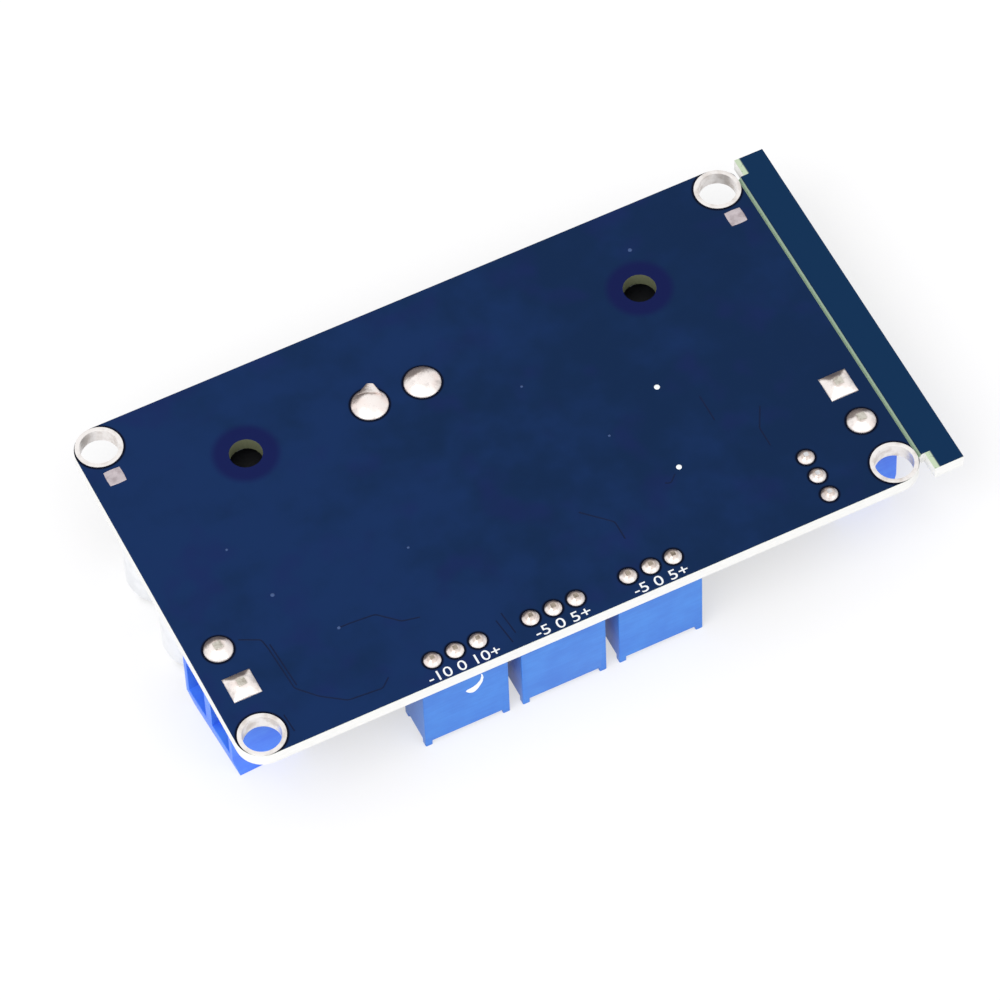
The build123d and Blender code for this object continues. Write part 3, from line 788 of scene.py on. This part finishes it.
def eased(route: Sequence[Vector], cut: float, steps: int = 4) -> list[Vector]:
    """Rounds a route's corners.

    Args:
        route: Its corner points.
        cut: How far before and after a corner the round starts and ends.
        steps: How many runs a round has.

    Returns:
        The points of the eased route.
    """
    out = [route[0]]
    for before, corner, after in zip(route, route[1:], route[2:]):
        a = corner + (before - corner).normalized() * cut
        b = corner + (after - corner).normalized() * cut
        for step in range(steps + 1):
            share = step / steps
            out.append(a.lerp(corner, share).lerp(corner.lerp(b, share), share))
    return out + [route[-1]]


class Mound(Enum):
    """The outline of a solder joint's pad."""

    ROUND = "round"
    SQUARE = "square"


@dataclass
class SolderSide:
    """Solder joints, hole plating, pads, tracks and print on the upper face."""

    board_top: float = 11.6
    board_thick: float = 1.6
    centre_x: float = -1.95
    groove_from_centre: float = 38.2
    pad_high: float = 0.08
    wall: float = 0.08
    corner_half: Place = (35.5, 19.5)
    corner_bore: float = 2.0
    corner_ring: float = 2.5
    terminal_round: tuple[Place, ...] = ((-37.04, -8.403), (33.01, -13.4))
    terminal_square: tuple[Place, ...] = ((-36.779, -13.397), (33.01, -8.4))
    terminal_pad: float = 3.05
    terminal_high: float = 0.87
    inductor: tuple[Place, ...] = ((-10.6, 11.55), (-4.6, 11.55))
    inductor_pad: float = 3.9
    inductor_high: float = 0.89
    tip_root: float = 1.3
    tip_end: float = 0.4
    tip_long: float = 1.3
    tip_flat: float = 0.33
    tip_at: Place = (1.6, 0.45)
    tip_lean: Spot = (0.444, 0.896, 0.0)
    fine_pitch: float = 2.54
    trimmer_x: tuple[float, ...] = (-16.06, -5.11, 5.84)
    trimmer_y: float = -19.39
    trimmer_pad: float = 1.8
    status_at: Place = (25.9, -17.35)
    status_pad: float = 1.75
    fine_high: float = 0.62
    lead_tips: Place = (12.39, 11.98)
    rise: tuple[Place, ...] = (
        (0.985, 0.14), (0.93, 0.24), (0.85, 0.36), (0.76, 0.49), (0.66, 0.63), (0.55, 0.77),
        (0.44, 0.88), (0.32, 0.95), (0.18, 0.99), (0.0, 1.0),
    )
    wave: float = 0.12
    wave_scale: float = 0.8
    wave_shift: Place = (3.7, 1.9)
    sink_half: float = 22.5
    sink_y: float = 11.9
    spare: tuple[Place, Place] = ((-37.5, 15.45), (33.6, 15.45))
    spare_pad: float = 1.9
    spare_dish: tuple[Place, ...] = ((0.0, -0.04), (0.3, -0.02), (0.5, 0.04))
    spare_plug: Place = (0.49, -0.3)
    spare_rim: float = 0.62
    spare_round: float = 0.7
    spare_corner: float = 0.8
    core_at: Place = (-7.6, 2.43)
    vias: tuple[Spot, ...] = (
        (16.46, -0.04, 0.31), (13.92, -9.91, 0.3), (-29.43, -4.98, 0.22), (-25.21, -11.6, 0.18),
        (21.9, 16.73, 0.22), (-31.2, 2.1, 0.14), (4.2, 6.4, 0.14), (9.4, -3.2, 0.14), (-14.8, -6.1, 0.14),
    )
    # How many vias are tinned and painted white as a glint.
    glint_painted_vias: int = 2
    via_crown: tuple[Place, ...] = ((0.0, 0.0), (1.0, 0.0), (0.9, 0.03), (0.5, 0.06), (0.0, 0.07))
    tracks: tuple[tuple[Place, ...], ...] = (
        ((-34.76, -8.27), (-32.73, -9.32), (-32.55, -10.5), (-32.23, -16.04), (-30.49, -18.0),
         (-28.1, -19.77), (-24.4, -20.08), (-23.37, -19.19)),
        ((-32.2, -10.2), (-31.88, -15.8)),
        ((-25.21, -11.6), (-24.17, -11.6), (-21.3, -11.82), (-19.26, -13.78), (-17.43, -14.18)),
        ((-34.52, -18.41), (-34.39, -20.59)),
        ((-10.86, -18.07), (-10.48, -21.14)),
        ((-10.01, -17.48), (-9.75, -20.27)),
        ((24.7, -7.0), (23.4, -9.4), (23.4, -11.8)),
        ((13.16, -10.49), (12.3, -11.29), (11.76, -11.01)),
        ((19.8, -3.1), (19.8, -6.4)),
        ((2.4, -10.2), (5.1, -12.9), (5.1, -15.2)),
    )
    track_wide: float = 0.16
    track_high: float = 0.03
    track_bend: float = 0.25
    labels: tuple[tuple[str, float, float, float], ...] = (
        ("-10 0 10+", -20.0, -21.85, 7.9), ("-5 0 5+", -8.1, -21.85, 6.1), ("-5 0 5+", 2.95, -21.85, 6.0),
    )
    glyph_size: float = 1.4
    glyph_high: float = 1.15
    print_high: float = 0.012

    def trimmer_joints(self) -> list[Place]:
        """Lists the nine trimmer joints."""
        return [(x + k * self.fine_pitch, self.trimmer_y) for x in self.trimmer_x for k in (-1, 0, 1)]

    def status_joints(self) -> list[Place]:
        """Lists the three joints of the status lamp."""
        return [(self.status_at[0], self.status_at[1] + k * self.fine_pitch) for k in (-1, 0, 1)]

    def corners(self) -> list[Place]:
        """Lists the four corner holes.

        Returns:
            Their places.
        """
        return [
            (self.centre_x + i * self.corner_half[0], j * self.corner_half[1])
            for i in (-1, 1) for j in (-1, 1)
        ]

    def rings(self) -> tuple[Spot, ...]:
        """Lists every round pad, for the dark ring drawn round it: the mask's clearance, darkened as a
        painted shadow.

        Returns:
            The pads as (x, y, radius).
        """
        groups = (
            (self.trimmer_joints(), self.trimmer_pad), (self.status_joints(), self.status_pad),
            (self.inductor, self.inductor_pad), (self.terminal_round, self.terminal_pad),
            (self.corners(), 2 * self.corner_ring),
        )
        return tuple((x, y, wide / 2) for places, wide in groups for x, y in places)

    def board(self) -> None:
        """Dresses the laminate, which stays."""
        finish = Laminate(
            self.centre_x + self.groove_from_centre, self.centre_x, self.sink_half, self.sink_y,
            self.core_at, self.rings(), self.spare,
        )
        dress("circuit_board", finish.build())

    def mound(self, bm: Mesh, at: Place, wide: float, high: float, shape: Mound, seed: int) -> None:
        """Adds one solder joint: a concave fillet up to a rounded crown round the lead.

        Args:
            bm: The mesh that gets it.
            at: Its place on the board in millimetres.
            wide: Its pad's width in millimetres.
            high: Its crown's height in millimetres.
            shape: The pad's outline.
            seed: What makes its small waves differ from the next one's.
        """
        r = wide / 2
        base = Vector((at[0], at[1], self.board_top)) * MM
        profile = [(0.0, 0.0), (r, 0.0), (r, self.pad_high * 0.8)]
        profile += [(r * a, high * b) for a, b in self.rise]
        new = turned(bm, profile, base, 40)
        along, across = self.wave_shift
        shift = Vector((seed * along, seed * across, 0.0))
        if shape is Mound.SQUARE:
            self._square(new, base, r * MM)
        for v in new:
            height = v.co.z - base.z
            if height > self.pad_high * MM * 1.1:
                wave = noise.noise(v.co / MM * self.wave_scale + shift)
                v.co.z = base.z + min(height * (1.0 + self.wave * wave), high * MM)

    def _square(
        self, verts: Iterable[bmesh.types.BMVert], base: Vector, r: float, share: float = 1.0
    ) -> None:
        """Pushes a round mound's foot out to a square pad, less towards the crown.

        Args:
            verts: The mound's vertices.
            base: The middle of its foot in metres.
            r: Its foot's radius in metres.
            share: How far the corners go, 1 for sharp ones.
        """
        for v in verts:
            dx, dy = v.co.x - base.x, v.co.y - base.y
            far = sqrt(dx * dx + dy * dy)
            if far > 1e-9:
                push = 1.0 + (far / max(abs(dx), abs(dy)) - 1.0) * share * min(1.0, far / r) ** 2
                v.co.x, v.co.y = base.x + dx * push, base.y + dy * push

    def joints(self) -> None:
        """Builds the four groups of solder joints."""
        large_tip, fine_tip = self.lead_tips
        large = Solder("reflowed_solder", large_tip).build()
        fine = Solder("fine_solder", fine_tip).build()
        domed = Solder("domed_solder").build()
        terminals = [(at, Mound.ROUND) for at in self.terminal_round]
        terminals += [(at, Mound.SQUARE) for at in self.terminal_square]
        inductor, trimmers, status = (
            [(at, Mound.ROUND) for at in places]
            for places in (self.inductor, self.trimmer_joints(), self.status_joints())
        )
        groups = (
            ("terminal_solder_joints", terminals, self.terminal_pad, self.terminal_high, large),
            ("inductor_solder_joints", inductor, self.inductor_pad, self.inductor_high, domed),
            ("trimmer_solder_joints", trimmers, self.trimmer_pad, self.fine_high, fine),
            ("status_lamp_solder_joints", status, self.status_pad, self.fine_high, fine),
        )
        for node, sets, wide, high, finish in groups:
            bm = bmesh.new()
            for number, (at, shape) in enumerate(sets):
                self.mound(bm, at, wide, high, shape, number + len(node))
            if node.startswith("inductor"):
                self.icicle(bm)
            finished(f"{node}_flow", bm, finish, "module", "solder", [node], crease=60)

    def icicle(self, bm: Mesh) -> None:
        """Adds the wire end that leans out of the first inductor joint under a skin of solder.

        Args:
            bm: The mesh that gets it.
        """
        made = bmesh.ops.create_cone(
            bm, cap_ends=True, segments=24, radius1=self.tip_root * MM, radius2=self.tip_end * MM,
            depth=self.tip_long * MM,
        )["verts"]
        lean = Vector(self.tip_lean)
        turn = Vector((0, 0, 1)).rotation_difference(lean).to_matrix()
        bmesh.ops.rotate(bm, verts=made, cent=(0, 0, 0), matrix=turn)
        bmesh.ops.scale(bm, verts=made, vec=(1.0, 1.0, self.tip_flat))
        out, up = self.tip_at
        at = Vector((*self.inductor[0], self.board_top + up)) + lean * out
        bmesh.ops.translate(bm, verts=made, vec=at * MM)

    def plating(self, material: Material) -> None:
        """Builds the plated corner holes, each a ring with a rolled lip and a thin tube below it.

        Args:
            material: Their finish.
        """
        bm = bmesh.new()
        bore, ring, top, low = self.corner_bore, self.corner_ring, self.pad_high, -self.board_thick
        outside = bore + self.wall
        profile = [
            (bore, low), (bore, -0.05), (bore + 0.03, top * 0.7), (bore + 0.1, top), (ring - 0.08, top),
            (ring - 0.01, top * 0.7), (ring, 0.0), (outside, 0.0), (outside, low), (bore, low),
        ]
        for x, y in self.corners():
            turned(bm, profile, Vector((x, y, self.board_top)) * MM, 64)
        name = "corner_hole_plating"
        finished(f"{name}_rings", bm, material, "module", "tinned_copper", [name])

    def spare_pads(self, material: Material) -> None:
        """Builds the two unused square pads, each with a skin of tin low in its hole.

        Args:
            material: Their finish.
        """
        bm = bmesh.new()
        half, top = self.spare_pad / 2, self.pad_high
        r, low = self.spare_plug
        profile = [
            *self.spare_dish, (self.spare_rim, top), (half - 0.05, top), (half, top / 2), (half, 0.0),
            (r, 0.0), (r, low), (0.0, low),
        ]
        for x, y in self.spare:
            base = Vector((x, y, self.board_top)) * MM
            new = turned(bm, profile, base, 32)
            outer = [v for v in new if (v.co - base).to_2d().length > self.spare_round * MM]
            self._square(outer, base, half * MM, self.spare_corner)
        finished("spare_pads_tinned", bm, material, "module", "tinned_copper", ["spare_square_pads"])

    def copper(self, material: Material) -> None:
        """Raises the tracks that show faintly through the mask.

        Args:
            material: Their finish.
        """
        bm = bmesh.new()
        for route in self.tracks:
            points = [Vector((x, y, self.board_top)) * MM for x, y in route]
            swept(bm, eased(points, self.track_bend * MM, 2), self.track_wide, 1)
        level = self.board_top * MM
        squash = self.track_high / (self.track_wide / 2)
        bmesh.ops.scale(
            bm, verts=bm.verts, vec=(1.0, 1.0, squash), space=Matrix.Translation((0.0, 0.0, -level))
        )
        finished("mask_over_tracks", bm, material, "module", "board_laminate", crease=80)

    def dots(self, bright: Material, dull: Material) -> None:
        """Adds the filled vias, the first few of them tinned and painted white as a glint.

        Args:
            bright: The finish of the first few, white paint that stands in for the tin's glint.
            dull: The finish of the others.
        """
        for name, places, finish in (
            ("tinned_vias_painted_glint", self.vias[:self.glint_painted_vias], bright),
            ("tented_vias", self.vias[self.glint_painted_vias:], dull),
        ):
            bm = bmesh.new()
            for x, y, r in places:
                base = Vector((x, y, self.board_top)) * MM
                turned(bm, [(r * a, z) for a, z in self.via_crown], base, 20)
            finished(name, bm, finish, "module", "tinned_copper", crease=80)

    def print_marks(self, material: Material) -> None:
        """Prints a generic scale of numbers beside each trimmer.

        Args:
            material: The print's finish.
        """
        bm = bmesh.new()
        for text, x, y, long in self.labels:
            words = bpy.data.curves.new("words", "FONT")
            words.body = text
            words.size = self.glyph_size * MM
            words.extrude = self.print_high * MM
            before = set(bm.verts)
            add_made(bm, words)
            new = [v for v in bm.verts if v not in before]
            wide = max(v.co.x for v in new) - min(v.co.x for v in new)
            high = max(v.co.y for v in new)
            bmesh.ops.scale(bm, verts=new, vec=(long * MM / wide, self.glyph_high * MM / high, 1.0))
            at = Vector((x, y, self.board_top + self.print_high))
            bmesh.ops.translate(bm, verts=new, vec=at * MM)
        finished("printed_scales", bm, material, "module", "board_laminate", crease=30)

    def build(self) -> None:
        """Builds the whole solder side."""
        self.board()
        self.joints()
        rings = Metal("plated_rings", srgb(240, 236, 234), srgb(206, 198, 192), 0.3, 0.8, metallic=0.6)
        self.plating(rings.build())
        tin = Metal("dull_tin", srgb(190, 180, 184), srgb(160, 148, 152), 0.5, 1.2, metallic=0.3)
        self.spare_pads(tin.build())
        tracks = Plastic("mask_on_copper", srgb(8, 26, 62), srgb(6, 22, 54), 0.5, specular=0.1)
        self.copper(tracks.build())
        # The tinned vias' white paint is a painted glint.
        bright, dull = Paint("via_tin_painted_glint", srgb(240, 244, 246), 0.4), Paint("via_mask", srgb(62, 84, 128))
        self.dots(bright.build(), dull.build())
        self.print_marks(Paint("silk_print", srgb(236, 238, 240)).build())


@dataclass
class Trimmers:
    """Three multi-turn trimmers: blue mouldings, brass screws, tinned pins and a stroke of ink."""

    count: int = 3
    front_y: float = -21.55
    ink_thick: float = 0.015
    ink: tuple[Spot, ...] = (
        (-14.25, 8.95, 0.28), (-14.2, 8.4, 0.33), (-14.35, 7.8, 0.4), (-14.68, 7.3, 0.5), (-15.02, 7.0, 0.68),
        (-15.35, 6.84, 0.84), (-15.62, 6.8, 0.86), (-15.84, 6.82, 0.66), (-15.98, 6.86, 0.3),
    )

    def ink_stroke(self, material: Material) -> None:
        """Lays the curved stroke of white ink on the first trimmer's front.

        Args:
            material: The ink's finish.
        """
        bm = bmesh.new()
        x, z, wide = self.ink[0]
        start = [
            bm.verts.new((x * MM + s * wide / 3 * MM, self.front_y * MM, z * MM - s * wide / 2 * MM))
            for s in (-1, 1)
        ]
        edge = bm.edges.new(start)
        for (x0, z0, wide0), (x1, z1, wide1) in zip(self.ink, self.ink[1:]):
            made = bmesh.ops.extrude_edge_only(bm, edges=[edge])["geom"]
            verts = [item for item in made if isinstance(item, bmesh.types.BMVert)]
            edge = next(e for e in bm.edges if set(e.verts) == set(verts))
            bmesh.ops.translate(bm, verts=verts, vec=Vector((x1 - x0, 0.0, z1 - z0)) * MM)
            middle = Matrix.Translation((-x1 * MM, -self.front_y * MM, -z1 * MM))
            bmesh.ops.scale(bm, verts=verts, vec=(wide1 / wide0, 1.0, wide1 / wide0), space=middle)
        made = bmesh.ops.extrude_face_region(bm, geom=bm.faces[:])["geom"]
        verts = [item for item in made if isinstance(item, bmesh.types.BMVert)]
        bmesh.ops.translate(bm, verts=verts, vec=(0.0, -self.ink_thick * MM, 0.0))
        finished("ink_stroke", bm, material, "module", "trimmer_blue")

    def build(self) -> None:
        """Builds the three trimmers."""
        blue = Plastic("trimmer_moulding", srgb(60, 133, 220), srgb(50, 117, 210), 0.36).build()
        brass = Metal("turned_brass", srgb(226, 190, 110), srgb(176, 138, 72), 0.28, 1.2, (1, 1, 6)).build()
        pins = Metal("pin_ends", srgb(168, 156, 142), srgb(120, 108, 96), 0.4).build()
        for number in range(1, self.count + 1):
            softened(f"trimmer_housing_{number}", blue, 0.12)
            softened(f"trimmer_screw_{number}", brass, 0.06)
        softened("trimmer_pins", pins, 0.08)
        self.ink_stroke(Paint("white_ink", srgb(248, 250, 252), 0.5).build())


@dataclass
class Terminals:
    """Two screw terminals with rising clamps."""

    sides: tuple[str, ...] = ("input", "output")
    poles: tuple[int, ...] = (1, 2)

    def build(self) -> None:
        """Builds both terminals."""
        blue = Plastic("terminal_moulding", srgb(78, 140, 250), srgb(62, 118, 244), 0.4).build()
        strip = Metal("strip_tin", srgb(214, 210, 200), srgb(160, 152, 140), 0.3).build()
        zinc = Metal("zinc_cage", srgb(206, 208, 212), srgb(150, 152, 158), 0.34, 2.2).build()
        steel = Metal("screw_steel", srgb(216, 216, 218), srgb(158, 158, 162), 0.26, 1.4, (1, 1, 5)).build()
        for side in self.sides:
            softened(f"{side}_terminal_housing", blue, 0.14)
            softened(f"{side}_terminal_contacts", strip, 0.05)
            for pole in self.poles:
                softened(f"{side}_clamp_cage_{pole}", zinc, 0.1)
                softened(f"{side}_clamp_screw_{pole}", steel, 0.08)


@dataclass
class Inductor:
    """The toroid: a coated ring core under one layer of enamelled wire."""

    centre: Place = (-7.6, 2.43)
    board_face: float = 10.0
    core_near: float = 1.2
    core_high: float = 6.5
    core_outer: float = 9.0
    core_inner: float = 5.0
    edge: float = 0.7
    wire: float = 1.0
    wire_bend: float = 0.85
    outer_leg: float = 9.6
    inner_leg: float = 4.4
    near: float = 0.6
    far: float = 8.3
    turns: int = 17
    lead_spacing: float = 6.0
    lead_end: float = -2.25

    def core(self, material: Material) -> None:
        """Spins the core and rounds its four edges.

        Args:
            material: Its finish.
        """
        bm = bmesh.new()
        top, low = -self.core_near, -self.core_near - self.core_high
        profile = [
            (self.core_outer, top), (self.core_outer, low), (self.core_inner, low), (self.core_inner, top),
            (self.core_outer, top),
        ]
        turned(bm, profile, Vector((*self.centre, self.board_face)) * MM, 72)
        sharp = [e for e in bm.edges if len(e.link_faces) == 2 and e.calc_face_angle() > radians(60)]
        bmesh.ops.bevel(
            bm, geom=sharp, offset=self.edge * MM, segments=4, profile=0.5, affect="EDGES", material=-1,
            clamp_overlap=True,
        )
        finished("inductor_core_ring", bm, material, "module", "core_coating", ["inductor_core"], crease=50)

    def point(self, radius: float, bearing: float, drop: float) -> Vector:
        """Gives a point of the winding.

        Args:
            radius: Its distance from the core's axis in millimetres.
            bearing: Its bearing about the axis in degrees.
            drop: How far below the board it is, in millimetres.

        Returns:
            The point in metres.
        """
        x = self.centre[0] + radius * cos(radians(bearing))
        y = self.centre[1] + radius * sin(radians(bearing))
        return Vector((x, y, self.board_face - drop)) * MM

    def winding(self, material: Material) -> None:
        """Winds the wire through the core, turn by turn, with both ends up through the board.

        Args:
            material: The wire's finish.
        """
        gap = degrees(asin(self.lead_spacing / 2 / self.outer_leg))
        first, step = 90 + gap, (360 - 2 * gap) / self.turns
        route = [self.point(self.outer_leg, first, self.lead_end)]
        for turn in range(self.turns):
            bearing = first + turn * step
            route += [
                self.point(self.outer_leg, bearing, self.far), self.point(self.inner_leg, bearing, self.far),
                self.point(self.inner_leg, bearing, self.near),
                self.point(self.outer_leg, bearing + step, self.near),
            ]
        last = first + self.turns * step
        route[-1] = self.point(self.outer_leg, last, self.near)
        route.append(self.point(self.outer_leg, last, self.lead_end))
        bm = bmesh.new()
        swept(bm, eased(route, self.wire_bend * MM, 5), self.wire, 3)
        finished("inductor_wire", bm, material, "module", "enamelled_copper", ["inductor_winding"], crease=60)

    def build(self) -> None:
        """Builds the whole inductor."""
        self.core(Plastic("core_epoxy", srgb(38, 38, 40), srgb(26, 26, 28), 0.5, 0.5).build())
        self.winding(Enamel().build())


@dataclass
class PowerStage:
    """Heatsinks on their pads, and transistors."""

    sides: tuple[str, ...] = ("input", "output")
    transistors: int = 4

    def build(self) -> None:
        """Builds the power stage."""
        black = Metal(
            "black_anodising", srgb(46, 47, 51), srgb(30, 31, 34), 0.42, 0.5, (1, 0.06, 1), 0.75
        ).build()
        epoxy = Plastic("transistor_epoxy", srgb(40, 40, 42), srgb(30, 30, 31), 0.55, 0.5).build()
        pad = Plastic("silicone_pad", srgb(168, 176, 184), srgb(150, 158, 168), 0.7, 0.4).build()
        tin = Metal("lead_tin", srgb(220, 220, 222), srgb(168, 168, 170), 0.3).build()
        for side in self.sides:
            softened(f"{side}_heatsink", black, 0.12)
        for number in range(1, self.transistors + 1):
            softened(f"power_transistor_{number}", epoxy, 0.12)
        softened("thermal_pads", pad, 0.05)
        softened("transistor_leads", tin, 0.05)


@dataclass
class Capacitors:
    """Four electrolytic capacitors on moulded bases."""

    board_face: float = 10.0
    middle_x: float = -1.95
    half_x: float = 33.5
    rows: Place = (9.8, 0.8)
    count: int = 4
    can_r: float = 4.0
    low: float = 1.15
    high: float = 9.8
    printed_end: float = 0.25
    crimp: tuple[Place, ...] = (
        (0.25, 0.0), (0.03, 0.12), (0.0, 0.3), (0.04, 0.45), (0.2, 0.62), (0.25, 0.75), (0.2, 0.88),
        (0.04, 1.05), (0.0, 1.3),
    )
    rolled_end: tuple[Place, ...] = (
        (0.0, 0.5), (0.06, 0.25), (0.25, 0.06), (0.5, 0.0), (0.75, 0.05), (0.95, 0.12),
    )

    def cans(self, material: Material) -> None:
        """Spins each can with its crimp and its rolled end.

        Args:
            material: Their finish.
        """
        profile = [
            (0, self.low), *((self.can_r - inset, self.low + up) for inset, up in self.crimp),
            *((self.can_r - inset, self.high - down) for inset, down in self.rolled_end),
            (0, self.high - self.rolled_end[-1][1]),
        ]
        ends = (self.middle_x - self.half_x, self.middle_x + self.half_x)
        centres = [(x, y) for x in ends for y in self.rows]
        for number, (x, y) in enumerate(centres, 1):
            bm = bmesh.new()
            turned(bm, [(a, -b) for a, b in profile], Vector((x, y, self.board_face)) * MM, 56)
            name = f"capacitor_can_{number}"
            finished(f"{name}_drawn", bm, material, "module", "can_aluminium", [name], crease=40)

    def build(self) -> None:
        """Builds cans, bases and leads."""
        level = self.board_face - self.high + self.printed_end
        self.cans(DrawnCan(self.middle_x, self.half_x, self.rows, level).build())
        base = Plastic("capacitor_base_moulding", srgb(36, 36, 38), srgb(26, 26, 28), 0.5, 0.4).build()
        for number in range(1, self.count + 1):
            softened(f"capacitor_base_{number}", base, 0.15)
        tin = Metal("capacitor_tin", srgb(214, 214, 216), srgb(166, 166, 168), 0.34).build()
        softened("capacitor_leads", tin, 0.03)


@dataclass
class SmallParts:
    """Chips, resistors, ceramics, fuse, diodes and lamps."""

    lamp_at: Spot = (25.9, -17.35, 10.0)
    lens_r: float = 1.5
    flange_r: float = 1.8
    flange_from: float = 1.0
    flange_high: float = 0.8
    dome_at: float = 5.2

    def status_lens(self, material: Material) -> None:
        """Spins the lens of the status lamp, with its flange and dome.

        Args:
            material: Its finish.
        """
        bm = bmesh.new()
        r, wide, low = self.lens_r, self.flange_r, self.flange_from
        mid = low + self.flange_high
        profile = [
            (0, low), (wide - 0.05, low), (wide, low + 0.08), (wide, mid - 0.08), (wide - 0.06, mid),
            (r + 0.06, mid), (r, mid + 0.1),
        ]
        profile += [(r * cos(a * pi / 16), self.dome_at - r + r * sin(a * pi / 16)) for a in range(9)]
        turned(bm, [(a, -b) for a, b in profile], Vector(self.lamp_at) * MM, 40)
        finished("status_lamp_lens", bm, material, "module", "lamp_clear", ["status_lamp"], crease=40)

    def build(self) -> None:
        """Builds the small parts."""
        epoxy = Plastic("chip_epoxy", srgb(42, 42, 44), srgb(32, 32, 33), 0.5, 0.55).build()
        tin = Metal("cap_tin", srgb(222, 222, 224), srgb(170, 170, 172), 0.3).build()
        tan = Plastic("ceramic_body", srgb(172, 138, 102), srgb(150, 116, 84), 0.4, 0.2).build()
        film = Plastic("resistor_film", srgb(34, 34, 38), srgb(24, 24, 28), 0.3, 0.1, 0.3).build()
        white = Plastic("fuse_ceramic", srgb(232, 230, 222), srgb(214, 212, 204), 0.35, 0.15).build()
        green = Plastic("shunt_coating", srgb(38, 52, 44), srgb(28, 40, 34), 0.35, 0.2, 0.2).build()
        amber = Plastic("lamp_epoxy", srgb(240, 228, 180), srgb(228, 208, 150), 0.2, 0.1, 0.6).build()
        for node, finish, soft in (
            ("controller_chip", epoxy, 0.12), ("amplifier_chip", epoxy, 0.12),
            ("controller_leads", tin, 0.03), ("amplifier_leads", tin, 0.03),
            ("shunt_resistors", green, 0.08), ("ceramic_capacitors", tan, 0.08),
            ("chip_resistors", film, 0.05), ("input_fuse", white, 0.12),
            ("rectifier_diodes", epoxy, 0.15), ("indicator_lamp", amber, 0.08),
            ("small_part_end_caps", tin, 0.05), ("status_lamp_leads", tin, 0.05),
        ):
            softened(node, finish, soft)
        milky = Plastic("milky_lens", srgb(236, 238, 232), srgb(222, 226, 220), 0.22, 0.08, 0.6)
        self.status_lens(milky.build())


@dataclass
class Studio:
    """The camera at the photograph's angle, the pale floor and the soft lamps."""

    lens: float = 247.8
    camera_at: Spot = (-0.16425, -0.36355, 0.5875)
    right: Spot = (0.8956, -0.4440, -0.0271)
    up: Spot = (0.3808, 0.7338, 0.5626)
    back: Spot = (-0.2299, -0.5142, 0.8263)
    sensor: float = 36.0
    clip: Place = (0.01, 20.0)
    floor_half: float = 3.0
    floor_lift: float = 0.58
    sky: float = 0.78
    aim: Spot = (0.0, 0.0, 0.006)
    lamps: tuple[tuple[str, Spot, float, float], ...] = (
        ("key_lamp", (-0.65, -0.35, 0.9), 0.75, 6.2), ("fill_lamp", (0.3, -0.8, 0.7), 0.8, 2.0),
    )

    def camera(self) -> None:
        """Sets the camera where the photograph was taken from."""
        data = bpy.data.cameras.new("camera")
        data.lens = self.lens
        data.sensor_width = self.sensor
        data.sensor_fit = "HORIZONTAL"
        data.clip_start, data.clip_end = self.clip
        camera = bpy.data.objects.new("camera", data)
        turn = Matrix((self.right, self.up, self.back)).transposed().to_4x4()
        camera.matrix_world = Matrix.Translation(self.camera_at) @ turn
        bpy.context.scene.collection.objects.link(camera)
        bpy.context.scene.camera = camera

    def lamp(self, name: str, at: Spot, size: float, power: float) -> None:
        """Adds one square soft lamp that faces the object.

        Args:
            name: The lamp's name.
            at: Where it hangs, in metres.
            size: The length of its side in metres.
            power: Its power in watts.
        """
        data = bpy.data.lights.new(name, "AREA")
        data.shape = "SQUARE"
        data.size = size
        data.energy = power
        lamp = bpy.data.objects.new(name, data)
        turn = (Vector(self.aim) - Vector(at)).to_track_quat("-Z", "Y")
        lamp.matrix_world = Matrix.Translation(at) @ turn.to_matrix().to_4x4()
        bpy.context.scene.collection.objects.link(lamp)

    def seen(self, g: Graph) -> Wire:
        """Gives 1 for the camera's rays and for reflected or passing ones, and 0 for others."""
        path = g.node("ShaderNodeLightPath")
        return path[0].most(path[3]).most(path[6])

    def floor(self) -> None:
        """Lays the floor, which keeps the object's shadow."""
        bm = bmesh.new()
        bmesh.ops.create_grid(bm, x_segments=1, y_segments=1, size=self.floor_half)
        mesh = bpy.data.meshes.new("floor")
        bm.to_mesh(mesh)
        bm.free()
        floor = bpy.data.objects.new("floor", mesh)
        bpy.context.scene.collection.objects.link(floor)
        g = Graph("floor_paper")
        fine = g.noise(g.place(), 0.02, 3.0)
        paper = g.node("ShaderNodeBsdfPrincipled", None, {
            "Base Color": g.mix(fine, srgb(250, 250, 251), srgb(252, 251, 252)), "Roughness": 0.9,
            "Specular IOR Level": 0.05,
        })[0]
        glow = g.node("ShaderNodeEmission", None, {"Color": srgb(255, 255, 255), "Strength": 1.0})[0]
        lift = self.seen(g) * self.floor_lift
        both = g.node("ShaderNodeMixShader", None, {0: lift, 1: paper, 2: glow})[0]
        g.node("ShaderNodeOutputMaterial", None, {0: both})
        mesh.materials.append(g.owner)

    def world(self) -> None:
        """Sets a pale surround that lights softly and shows white to the camera and in reflections."""
        g = Graph("surround", world=True)
        soft, white = (
            g.node("ShaderNodeBackground", None, {"Color": srgb(255, 255, 255), "Strength": strength})[0]
            for strength in (self.sky, 1.0)
        )
        both = g.node("ShaderNodeMixShader", None, {0: self.seen(g), 1: soft, 2: white})[0]
        g.node("ShaderNodeOutputWorld", None, {0: both})
        bpy.context.scene.world = g.owner

    def build(self) -> None:
        """Sets up the whole studio."""
        self.camera()
        self.world()
        self.floor()
        for name, at, size, power in self.lamps:
            self.lamp(name, at, size, power)
        bpy.context.scene.view_settings.view_transform = "Standard"


def main() -> None:
    """Builds the classes in order."""
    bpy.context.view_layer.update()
    for part in (SolderSide(), Trimmers(), Terminals(), Inductor(), PowerStage(), Capacitors(), SmallParts()):
        log.info("building %s", type(part).__name__)
        part.build()
    Studio().build()


if __name__ == "__main__":
    main()
